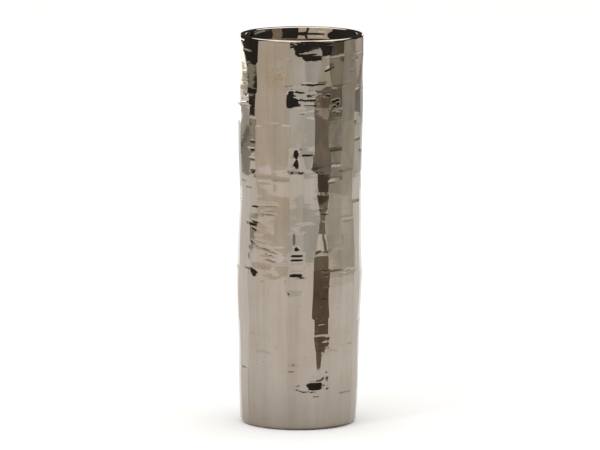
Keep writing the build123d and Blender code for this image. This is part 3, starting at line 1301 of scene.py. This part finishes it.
@dataclass(frozen=True)
class PitGlaze(Finish):
    """Glaze drawn back round a pinhole, with dark body showing in it."""

    name = "pit_glaze"
    rim: Colour = (0.36, 0.31, 0.26, 1.0)
    bright_rim: Colour = (0.46, 0.40, 0.34, 1.0)
    body: Colour = (0.02, 0.016, 0.012, 1.0)
    gloss: float = 0.06
    body_rough: float = 0.5
    cloud_rough: float = 0.04
    cloud: Grain = Grain(600.0, 4.0)

    def paint(self, tree: Tree, place: Any, shader: bpy.types.Node) -> None:
        """Rim in glaze and a dark, dull middle.

        Args:
            tree: The material's tree.
            place: Object coordinates.
            shader: The Principled shader.
        """
        mark = tree.node("ShaderNodeAttribute", {"attribute_name": "hollow"}, {})
        hollow = tree.number(mark, "Fac")
        cloud = self.cloud.on(tree, place)
        self.dress(
            tree,
            shader,
            {
                "Base Color": tree.tint(hollow, tree.tint(cloud, self.rim, self.bright_rim), self.body),
                "Metallic": 1.0 - hollow,
                "Roughness": self.gloss + hollow * self.body_rough + cloud * self.cloud_rough,
            },
        )


@dataclass(frozen=True)
class Felt(Finish):
    """Dark pressed wool felt."""

    name = "felt"
    dark: Colour = (0.022, 0.019, 0.017, 1.0)
    pale: Colour = (0.075, 0.068, 0.06, 1.0)
    sheen: float = 0.3
    roughness: float = 0.85
    wisp_rough: float = 0.12
    wisp_depth: float = 0.00012
    lump_depth: float = 0.0001
    wisp: Grain = Grain(2600.0, 2.0, 4.0, 0.7, (0.35, 0.75))
    lump: Grain = Grain(500.0, 7.0)

    def paint(self, tree: Tree, place: Any, shader: bpy.types.Node) -> None:
        """Fibre mottle, dull surface and matted bumps.

        Args:
            tree: The material's tree.
            place: Object coordinates.
            shader: The Principled shader.
        """
        wisps = self.wisp.on(tree, place)
        matted = wisps * self.wisp_depth + self.lump.on(tree, place) * self.lump_depth
        bump = tree.node("ShaderNodeBump", {}, {"Strength": 1.0, "Distance": 1.0, "Height": matted})
        self.dress(
            tree,
            shader,
            {
                "Base Color": tree.tint(wisps.ramp(*self.wisp.patches), self.dark, self.pale),
                "Roughness": self.roughness + wisps * self.wisp_rough,
                "Sheen Weight": self.sheen,
                "Normal": bump.outputs[0],
            },
        )


# ------------------------------------------------------------------ geometry nodes
class GeometryRecipe:
    """A Geometry Nodes tree with named inputs, run once and then taken off."""

    def __init__(self, name: str, inputs: dict[str, tuple[str, Any]]) -> None:
        """Opens the tree with its inputs.

        Args:
            name: Name of the tree.
            inputs: Socket type and value of each named input.
        """
        self.group = bpy.data.node_groups.new(name, "GeometryNodeTree")
        self.tree = Tree(self.group)
        self.values: dict[str, Any] = {}
        face = self.group.interface
        face.new_socket("Geometry", in_out="INPUT", socket_type="NodeSocketGeometry")
        for label, (kind, value) in inputs.items():
            socket = face.new_socket(label, in_out="INPUT", socket_type=kind)
            self.values[socket.identifier] = value
        face.new_socket("Geometry", in_out="OUTPUT", socket_type="NodeSocketGeometry")
        self.source = self.tree.node("NodeGroupInput", {}, {})

    def input(self, label: str) -> Num:
        """A named input as a number."""
        return Num(self.tree, self.source.outputs[label])

    def mark(self, name: str) -> Num:
        """A mark stored on the mesh."""
        node = self.tree.node("GeometryNodeInputNamedAttribute", {"data_type": "FLOAT"}, {"Name": name})
        return Num(self.tree, node.outputs[0])

    def close(self, geometry: Any) -> None:
        """Realises, dresses and hands out the result.

        Args:
            geometry: The last geometry link.
        """
        tree = self.tree
        real = tree.node("GeometryNodeRealizeInstances", {}, {"Geometry": geometry})
        dressed = tree.node(
            "GeometryNodeSetMaterial",
            {},
            {"Geometry": real.outputs[0], "Material": self.source.outputs["Material"]},
        )
        tree.node("NodeGroupOutput", {}, {0: dressed.outputs[0]})

    def run(self, piece: bpy.types.Object) -> None:
        """Applies the recipe to an object and leaves a plain mesh.

        Args:
            piece: The object to work on.
        """
        modifier = piece.modifiers.new(self.group.name, "NODES")
        modifier.node_group = self.group
        for identifier, value in self.values.items():
            modifier[identifier] = value
        graph = bpy.context.evaluated_depsgraph_get()
        made = bpy.data.meshes.new_from_object(
            piece.evaluated_get(graph), preserve_all_data_layers=True, depsgraph=graph
        )
        piece.modifiers.remove(modifier)
        made.name = piece.name
        piece.data = made


@dataclass
class HandFinish:
    """What the hand and the kiln leave on the cut wall: crowned flats and slow waves.

    Lengths are in millimetres, and a scale is the number of waves for each metre. The
    lip's zone lies below the top of the wall.
    """

    crown: float = 0.085
    waver: float = 0.3
    waver_scale: float = 19.0
    dimple: float = 0.07
    dimple_scale: float = 62.0
    lip_waver: float = 0.5
    lip_waver_scale: float = 14.0
    lip_zone: tuple[float, float] = (20.0, 3.0)
    lip_fall: float = 0.2
    inner_waver: float = 0.9
    layers: float = 1.0
    seed: float = 11.0
    dimple_seed_step: float = 7.0
    lip_seed_step: float = 3.0

    def recipe(self, material: bpy.types.Material, top: float) -> GeometryRecipe:
        """Builds the tree.

        Args:
            material: Finish of the vessel.
            top: Height of the wall.

        Returns:
            The recipe, ready to run.
        """
        number = "NodeSocketFloat"
        recipe = GeometryRecipe(
            "hand_finish",
            {
                "Crown": (number, self.crown * MM),
                "Waver": (number, self.waver * MM),
                "Waver Scale": (number, self.waver_scale),
                "Dimple": (number, self.dimple * MM),
                "Dimple Scale": (number, self.dimple_scale),
                "Lip Waver": (number, self.lip_waver * MM),
                "Inner Waver": (number, self.inner_waver * MM),
                "Seed": (number, self.seed),
                "Material": ("NodeSocketMaterial", material),
            },
        )
        tree = recipe.tree
        place = tree.node("GeometryNodeInputPosition", {}, {}).outputs[0]
        normal = tree.node("GeometryNodeInputNormal", {}, {}).outputs[0]
        height = tree.number(tree.node("ShaderNodeSeparateXYZ", {}, {"Vector": place}), 2)
        wall, across, inner = recipe.mark("wall"), recipe.mark("across"), recipe.mark("inner")
        seed = recipe.input("Seed")
        waves, dimples, lip_waves = (
            tree.noise(place, scale, pattern, self.layers) - 0.5
            for scale, pattern in (
                (recipe.input("Waver Scale"), seed),
                (recipe.input("Dimple Scale"), seed + self.dimple_seed_step),
                (self.lip_waver_scale, seed + self.lip_seed_step),
            )
        )
        crowned = (1.0 - across * across) * recipe.input("Crown")
        out = wall * (crowned + waves * recipe.input("Waver") + dimples * recipe.input("Dimple"))
        out = out + inner * waves * recipe.input("Inner Waver")
        near_lip = height.ramp(*((top - below) * MM for below in self.lip_zone))
        drop = near_lip * (lip_waves - self.lip_fall) * recipe.input("Lip Waver")
        lift = tree.node("ShaderNodeCombineXYZ", {}, {"Z": drop}).outputs[0]
        push = tree.node("ShaderNodeVectorMath", {"operation": "SCALE"}, {0: normal, "Scale": out})
        both = tree.node("ShaderNodeVectorMath", {"operation": "ADD"}, {0: push.outputs[0], 1: lift})
        moved = tree.node(
            "GeometryNodeSetPosition",
            {},
            {"Geometry": recipe.source.outputs["Geometry"], "Offset": both.outputs[0]},
        )
        smooth = tree.node("GeometryNodeSetShadeSmooth", {}, {"Geometry": moved.outputs[0]})
        recipe.close(smooth.outputs[0])
        return recipe


@dataclass
class PinholeField:
    """Glaze pinholes: small raised rims with dark hollows, thickest along the ledges.

    Densities are for each square metre. The smallest and largest are a pinhole's radius in
    millimetres, and its rim and hollow are parts of that radius.
    """

    density: float = 700.0
    ledge_density: float = 9000.0
    on_wall: float = 0.9
    smallest: float = 0.22
    largest: float = 0.42
    seed: int = 5
    sides: int = 9
    rim_sides: int = 5
    rim_radius: float = 0.78
    rim_thickness: float = 0.22
    rim_flatness: float = 0.55
    hollow_radius: float = 0.74
    hollow_rise: float = 0.06

    def recipe(self, material: bpy.types.Material) -> GeometryRecipe:
        """Builds the tree that scatters the pinholes over the wall.

        Args:
            material: Finish of the pinholes.

        Returns:
            The recipe, ready to run.
        """
        number = "NodeSocketFloat"
        recipe = GeometryRecipe(
            "pinholes",
            {
                "Density": (number, self.density),
                "Ledge Density": (number, self.ledge_density),
                "Smallest": (number, self.smallest * MM),
                "Largest": (number, self.largest * MM),
                "Seed": ("NodeSocketInt", self.seed),
                "Material": ("NodeSocketMaterial", material),
            },
        )
        tree = recipe.tree
        seed = recipe.source.outputs["Seed"]
        crowd = recipe.input("Density") + recipe.mark("ledge") * recipe.input("Ledge Density")
        points = tree.node(
            "GeometryNodeDistributePointsOnFaces",
            {"distribute_method": "RANDOM"},
            {
                "Mesh": recipe.source.outputs["Geometry"],
                "Density": crowd * (recipe.mark("wall") > self.on_wall),
                "Seed": seed,
            },
        )
        size = tree.node(
            "FunctionNodeRandomValue",
            {"data_type": "FLOAT"},
            {"Seed": seed, 2: recipe.source.outputs["Smallest"], 3: recipe.source.outputs["Largest"]},
        )
        placed = tree.node(
            "GeometryNodeInstanceOnPoints",
            {},
            {
                "Points": points.outputs["Points"],
                "Instance": self._pit(tree),
                "Rotation": points.outputs["Rotation"],
                "Scale": size.outputs[1],
            },
        )
        recipe.close(placed.outputs[0])
        return recipe

    @staticmethod
    def _circle(tree: Tree, sides: int, radius: float) -> bpy.types.NodeSocket:
        """A circle with a number of sides."""
        values = {"Resolution": sides, "Radius": radius}
        return tree.node("GeometryNodeCurvePrimitiveCircle", {"mode": "RADIUS"}, values).outputs[0]

    def _pit(self, tree: Tree) -> bpy.types.NodeSocket:
        """One pinhole of radius 1: a low ring round a dark disc.

        Args:
            tree: The tree that it is made in.

        Returns:
            Its geometry.
        """
        path = self._circle(tree, self.sides, self.rim_radius)
        tube = self._circle(tree, self.rim_sides, self.rim_thickness)
        ring = tree.node("GeometryNodeCurveToMesh", {}, {"Curve": path, "Profile Curve": tube})
        flatter = (1.0, 1.0, self.rim_flatness)
        low = tree.node("GeometryNodeTransform", {}, {"Geometry": ring.outputs[0], "Scale": flatter})
        disc = tree.node(
            "GeometryNodeMeshCircle",
            {"fill_type": "TRIANGLE_FAN"},
            {"Vertices": self.sides, "Radius": self.hollow_radius},
        )
        raised = tree.node(
            "GeometryNodeTransform",
            {},
            {"Geometry": disc.outputs[0], "Translation": (0.0, 0.0, self.hollow_rise)},
        )
        marked = tree.node(
            "GeometryNodeStoreNamedAttribute",
            {"data_type": "FLOAT", "domain": "POINT"},
            {"Geometry": raised.outputs[0], "Name": "hollow", "Value": 1.0},
        )
        smooth = tree.node("GeometryNodeSetShadeSmooth", {}, {"Geometry": low.outputs[0]})
        both = tree.node("GeometryNodeJoinGeometry", {}, {})
        for part in (marked, smooth):
            tree.nodes.links.new(part.outputs[0], both.inputs[0])
        return both.outputs[0]


# ------------------------------------------------------------------ the object
@dataclass
class Vessel:
    """The glazed vase with its pinholes."""

    shape: VesselShape = field(default_factory=VesselShape)
    finish: HandFinish = field(default_factory=HandFinish)
    pinholes: PinholeField = field(default_factory=PinholeField)

    def build(self) -> list[bpy.types.Object]:
        """Makes the vessel and its pinholes and puts them on the frame.

        Returns:
            The finished pieces.
        """
        glaze = MirrorGlaze().build()
        vase = new_piece("vase_glazed", self.shape.mesh())
        self.finish.recipe(glaze, self.shape.wall.height).run(vase)
        pits = new_piece("glaze_pinholes", vase.data.copy())
        self.pinholes.recipe(PitGlaze().build()).run(pits)
        for piece in (vase, pits):
            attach(piece, "root")
        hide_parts("vase_body")
        return [vase, pits]


@dataclass
class FeltDots:
    """The four dots under the foot, which keep their CAD shape."""

    count: int = 4

    def dress(self) -> list[bpy.types.Object]:
        """Gives each dot its felt.

        Returns:
            The dressed dots.
        """
        felt = Felt().build()
        dots = [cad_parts[f"foot_pad_{number}"] for number in range(1, self.count + 1)]
        for dot in dots:
            dot.data.materials.clear()
            dot.data.materials.append(felt)
        return dots


def new_piece(name: str, data: bpy.types.ID) -> bpy.types.Object:
    """Puts a mesh, lamp or camera into the scene as an object at the origin.

    Args:
        name: Name of the object.
        data: Its mesh, already in place, or its light or camera data.

    Returns:
        The object.
    """
    piece = bpy.data.objects.new(name, data)
    bpy.context.scene.collection.objects.link(piece)
    return piece


# ------------------------------------------------------------------ the studio
class SeenBy(Enum):
    """Which rays meet a thing on the stage."""

    ALL = "all"
    MIRROR_ONLY = "mirror only"


class Away(Enum):
    """How far from the vase a panel stands, in metres."""

    DOOR = 0.28
    TABLE = 0.75
    LOW_WALL = 1.5
    WALL = 1.6
    HIGH = 1.9
    ROOM = 2.1


@dataclass(frozen=True)
class Glow:
    """A plain light that only the glaze sees, clouded softly or even."""

    name: str
    strength: float
    colour: tuple[float, float, float] = (1.0, 1.0, 1.0)
    cloud: float = 0.0
    cloud_scale: float = 0.0
    cloud_seed: float = 0.0
    cloud_gain: float = 3.0

    def build(self) -> bpy.types.Material:
        """Makes the material.

        Returns:
            The material.
        """
        material, tree = new_material(self.name)
        strength: Any = self.strength
        if self.cloud:
            place = tree.node("ShaderNodeTexCoord", {}, {}).outputs["Object"]
            clouds = tree.noise(place, self.cloud_scale, self.cloud_seed) - 0.5
            strength = self.strength + clouds * (self.cloud_gain * self.strength * self.cloud)
        glow = tree.node("ShaderNodeEmission", {}, {"Color": (*self.colour, 1.0), "Strength": strength})
        tree.node("ShaderNodeOutputMaterial", {}, {"Surface": glow.outputs[0]})
        material.cycles.emission_sampling = "NONE"
        return material


@dataclass(frozen=True)
class Panel:
    """An upright, curved panel that stands round the vase and shows in its glaze.

    It runs from its first to its last azimuth, and from its low to its high edge in metres.
    """

    name: str
    first: float
    last: float
    away: Away
    low: float
    high: float
    colour: tuple[float, float, float]
    cloud: float = 0.12
    facet: float = 4.0
    clouds_round: float = 14.0

    def build(self, gain: float) -> bpy.types.Object:
        """Makes the panel.

        Args:
            gain: Strength of its light.

        Returns:
            The panel, staged.
        """
        away = self.away.value
        count = max(2, int(abs(self.last - self.first) / self.facet) + 1)
        turns = np.radians(np.linspace(self.first, self.last, count))
        points = [
            (away * math.sin(turn), -away * math.cos(turn), z)
            for z in (self.low, self.high)
            for turn in turns
        ]
        faces = [(i, i + 1, count + i + 1, count + i) for i in range(count - 1)]
        mesh = bpy.data.meshes.new(self.name)
        mesh.from_pydata(points, [], faces)
        glow = Glow(self.name, gain, self.colour, self.cloud, self.clouds_round / away, self.first)
        mesh.materials.append(glow.build())
        panel = new_piece(self.name, mesh)
        Studio.stage(panel, SeenBy.MIRROR_ONLY)
        return panel


@dataclass(frozen=True)
class Canopy:
    """A level soft box high over the vase that draws the thin lights on the lip."""

    radius: float = 2.9
    height: float = 2.7
    back: float = 0.25
    strength: float = 2.6
    sides: int = 24

    def build(self) -> bpy.types.Object:
        """Makes the canopy.

        Returns:
            The canopy, staged.
        """
        turns = [FULL_TURN * side / self.sides for side in range(self.sides)]
        rim = [
            (self.radius * math.cos(turn), self.radius * math.sin(turn) + self.back, self.height)
            for turn in turns
        ]
        mesh = bpy.data.meshes.new("canopy")
        mesh.from_pydata(rim, [], [tuple(range(self.sides))])
        mesh.materials.append(Glow("canopy", self.strength).build())
        canopy = new_piece("canopy", mesh)
        Studio.stage(canopy, SeenBy.MIRROR_ONLY)
        return canopy


@dataclass(frozen=True)
class Lamp:
    """A square soft lamp that faces the vase: place and size in metres, power in watts."""

    name: str
    place: Place
    size: float
    power: float
    aim: Place = (0.0, 0.0, 0.15)

    def build(self) -> bpy.types.Object:
        """Hangs the lamp.

        Returns:
            The lamp.
        """
        light = bpy.data.lights.new(self.name, "AREA")
        light.size = self.size
        light.energy = self.power
        lamp = new_piece(self.name, light)
        lamp.location = self.place
        face_towards(lamp, self.aim)
        return lamp


def face_towards(thing: bpy.types.Object, aim: Place) -> None:
    """Turns a lamp or camera to look at a point."""
    thing.rotation_euler = (Vector(aim) - thing.location).to_track_quat("-Z", "Y").to_euler()


@dataclass
class Studio:
    """Pale floor, soft light, panels round the vase and the camera, in metres."""

    floor_size: float = 40.0
    floor_shade: Colour = (0.92, 0.915, 0.905, 1.0)
    floor_rough: float = 0.9
    sky_shade: Colour = (1.07, 1.065, 1.055, 1.0)
    mirrored_sky: Colour = (0.045, 0.043, 0.04, 1.0)
    camera_away: float = 6.0
    camera_height: float = 1.14
    aim_height: float = 0.2057
    lens: float = 351.2
    sensor: float = 36.0
    clip: tuple[float, float] = (0.1, 100.0)
    panel_gain: float = 1.07
    lamps: tuple[Lamp, ...] = (
        Lamp("overhead", (0.4, 0.3, 3.4), 2.6, 14.0),
        Lamp("key", (-2.6, -2.4, 2.6), 0.8, 24.0),
    )
    panels: tuple[Panel, ...] = (
        Panel("dark_room", -180.0, 180.0, Away.ROOM, 0.0, 1.4, (0.045, 0.043, 0.04), 0.3),
        Panel("window_left", -168.0, -131.5, Away.WALL, 0.10, 0.165, (2.4, 2.4, 2.4)),
        Panel("window_left_top", -168.0, -128.6, Away.WALL, 0.165, 0.34, (2.4, 2.4, 2.4)),
        Panel("wall_far_left", -168.0, -131.5, Away.WALL, 0.0, 0.10, (0.80, 0.78, 0.74)),
        Panel("left_skirting", -131.5, -114.0, Away.WALL, 0.03, 0.065, (0.42, 0.41, 0.38), 0.5),
        Panel("left_dado", -131.5, -114.0, Away.WALL, 0.065, 0.082, (0.28, 0.27, 0.25), 0.4),
        Panel("left_wall", -131.5, -114.0, Away.WALL, 0.082, 0.143, (0.66, 0.64, 0.6), 0.4),
        Panel("left_lamp", -131.5, -114.0, Away.WALL, 0.143, 0.157, (1.2, 1.18, 1.1), 0.4),
        Panel("left_rail", -131.5, -114.0, Away.WALL, 0.157, 0.165, (0.5, 0.48, 0.42), 0.5),
        Panel("left_gap_low", -114.0, -89.0, Away.WALL, 0.012, 0.11, (0.58, 0.54, 0.46), 0.5),
        Panel("left_gap_high", -114.0, -89.0, Away.WALL, 0.152, 0.173, (0.47, 0.46, 0.38)),
        Panel("wall_warm", -89.0, -52.0, Away.WALL, 0.0, 0.6, (0.89, 0.82, 0.72)),
        Panel("skirt_warm", -89.0, -28.0, Away.LOW_WALL, 0.0, 0.03, (0.9, 0.84, 0.75)),
        Panel("wall_warm_front", -52.0, -22.0, Away.WALL, 0.0, 0.6, (0.84, 0.80, 0.72)),
        Panel("wall_front", -22.0, 8.0, Away.WALL, 0.0, 0.26, (0.89, 0.89, 0.86)),
        Panel("wall_cool", 8.0, 30.0, Away.WALL, 0.0, 0.28, (0.76, 0.77, 0.76)),
        Panel("wall_right", 30.0, 58.0, Away.WALL, 0.0, 0.2, (0.70, 0.69, 0.61)),
        Panel("table_edge_right", 58.0, 117.0, Away.TABLE, 0.0, 0.03, (0.93, 0.91, 0.86)),
        Panel("table_right", 58.0, 117.0, Away.TABLE, 0.03, 0.12, (0.77, 0.75, 0.69), 0.3),
        Panel("shelf_low", 58.0, 86.0, Away.TABLE, 0.12, 0.18, (0.56, 0.54, 0.47), 0.4),
        Panel("shelf_right", 58.0, 86.0, Away.TABLE, 0.18, 0.203, (0.44, 0.43, 0.375), 0.6),
        Panel("shelf_gap", 58.0, 86.0, Away.TABLE, 0.203, 0.26, (0.27, 0.25, 0.21), 0.5),
        Panel("shelf_top", 58.0, 86.0, Away.TABLE, 0.26, 0.29, (0.45, 0.44, 0.37), 0.25),
        Panel("shelf_dark", 58.0, 86.0, Away.TABLE, 0.29, 0.5, (0.15, 0.135, 0.11), 0.4),
        Panel("case_right", 86.0, 117.0, Away.TABLE, 0.12, 0.2, (0.62, 0.61, 0.54), 0.3),
        Panel("case_top", 86.0, 117.0, Away.TABLE, 0.2, 0.5, (0.52, 0.51, 0.46), 0.3),
        Panel("far_right_low", 117.0, 150.0, Away.WALL, 0.0, 0.075, (0.80, 0.79, 0.74), 0.3),
        Panel("far_right_dado", 117.0, 150.0, Away.WALL, 0.075, 0.122, (0.34, 0.32, 0.29), 0.4),
        Panel("far_right_rail", 117.0, 150.0, Away.WALL, 0.122, 0.165, (0.50, 0.47, 0.43), 0.5),
        Panel("far_right_top", 117.0, 150.0, Away.WALL, 0.165, 0.4, (0.72, 0.66, 0.60), 0.4),
        Panel("edge_right_low", 150.0, 166.0, Away.WALL, 0.0, 0.09, (0.72, 0.73, 0.73), 0.2),
        Panel("edge_right", 150.0, 166.0, Away.WALL, 0.09, 0.168, (0.52, 0.52, 0.52), 0.3),
        Panel("edge_right_top", 150.0, 166.0, Away.WALL, 0.168, 0.3, (0.3, 0.3, 0.3), 0.3),
        Panel("window_right", 166.0, 192.0, Away.WALL, 0.0, 0.24, (1.15, 1.15, 1.15)),
        Panel("glint_right", 158.0, 172.0, Away.WALL, 0.45, 0.62, (2.4, 2.4, 2.4)),
        Panel("glint_left", -172.0, -158.0, Away.WALL, 0.5, 0.62, (2.4, 2.4, 2.4)),
        Panel("door_step", 27.0, 41.4, Away.DOOR, 0.012, 0.046, (0.25, 0.21, 0.165), 0.3),
        Panel("door_low", 27.0, 57.0, Away.DOOR, 0.046, 0.132, (0.19, 0.15, 0.115), 0.3),
        Panel("door_middle", 31.0, 57.0, Away.DOOR, 0.132, 0.155, (0.27, 0.23, 0.185), 0.3),
        Panel("door_edge", 41.8, 43.8, Away.DOOR, 0.155, 0.172, (0.30, 0.265, 0.2), 0.4),
        Panel("door_narrow", 33.0, 49.0, Away.DOOR, 0.172, 0.211, (0.30, 0.265, 0.2), 0.4),
        Panel("door_dark", 31.0, 56.0, Away.DOOR, 0.211, 0.232, (0.12, 0.095, 0.08), 0.4),
        Panel("door_top", 31.0, 58.0, Away.DOOR, 0.232, 0.292, (0.29, 0.255, 0.21), 0.3),
        Panel("door_light", 31.0, 58.0, Away.DOOR, 0.292, 0.302, (0.50, 0.46, 0.4), 0.3),
        Panel("door_lintel", 31.0, 58.0, Away.DOOR, 0.302, 0.315, (0.24, 0.2, 0.17), 0.3),
        Panel("high_front", -70.0, -18.0, Away.HIGH, 0.75, 1.9, (0.85, 0.78, 0.66)),
        Panel("high_middle", -12.0, 5.0, Away.HIGH, 0.55, 1.7, (0.80, 0.74, 0.64)),
        Panel("high_side", 44.0, 66.0, Away.HIGH, 0.6, 1.6, (0.34, 0.29, 0.22), 0.5),
    )

    @staticmethod
    def stage(thing: bpy.types.Object, seen: SeenBy) -> None:
        """Sets which rays meet a thing on the stage; a thing that all rays meet is left as it is.

        Args:
            thing: The object.
            seen: Which rays meet it.
        """
        if seen is SeenBy.MIRROR_ONLY:
            thing.visible_camera = False
            thing.visible_diffuse = False
            thing.visible_shadow = False
            thing.visible_transmission = False

    def floor(self) -> None:
        """Lays the floor."""
        half = self.floor_size / 2.0
        mesh = bpy.data.meshes.new("floor")
        corners = [(-half, -half, 0.0), (half, -half, 0.0), (half, half, 0.0), (-half, half, 0.0)]
        mesh.from_pydata(corners, [], [(0, 1, 2, 3)])
        material, tree = new_material("floor")
        look = {"Base Color": self.floor_shade, "Roughness": self.floor_rough, "Specular IOR Level": 0.0}
        shader = tree.node("ShaderNodeBsdfPrincipled", {}, look)
        tree.node("ShaderNodeOutputMaterial", {}, {"Surface": shader.outputs[0]})
        mesh.materials.append(material)
        self.stage(new_piece("floor", mesh), SeenBy.ALL)

    def sky(self) -> None:
        """Sets the soft surrounding light, duller where only the glaze sees it."""
        world = bpy.data.worlds.new("studio")
        bpy.context.scene.world = world
        world.use_nodes = True
        tree = Tree(world.node_tree)
        mirrored = tree.number(tree.node("ShaderNodeLightPath", {}, {}), "Is Glossy Ray")
        colour = tree.tint(mirrored, self.sky_shade, self.mirrored_sky)
        back = tree.node("ShaderNodeBackground", {}, {"Color": colour, "Strength": 1.0})
        tree.node("ShaderNodeOutputWorld", {}, {"Surface": back.outputs[0]})

    def camera(self) -> None:
        """Sets the camera in front, slightly above, with a long lens."""
        data = bpy.data.cameras.new("camera")
        data.lens = self.lens
        data.sensor_width = self.sensor
        data.clip_start, data.clip_end = self.clip
        camera = new_piece("camera", data)
        camera.location = (0.0, -self.camera_away, self.camera_height)
        face_towards(camera, (0.0, 0.0, self.aim_height))
        bpy.context.scene.camera = camera

    def build(self) -> None:
        """Sets up the whole studio."""
        self.floor()
        self.sky()
        for panel in self.panels:
            panel.build(self.panel_gain)
        Canopy().build()
        for lamp in self.lamps:
            lamp.build()
        self.camera()
        bpy.context.scene.view_settings.view_transform = "Standard"


def main() -> None:
    """Builds the vase and the studio, and reports each piece."""
    logging.basicConfig(level=logging.INFO, format="%(name)s: %(message)s")
    for piece in [*Vessel().build(), *FeltDots().dress()]:
        LOG.info("%s: %d faces", piece.name, len(piece.data.polygons))
    Studio().build()


if __name__ == "__main__":
    main()
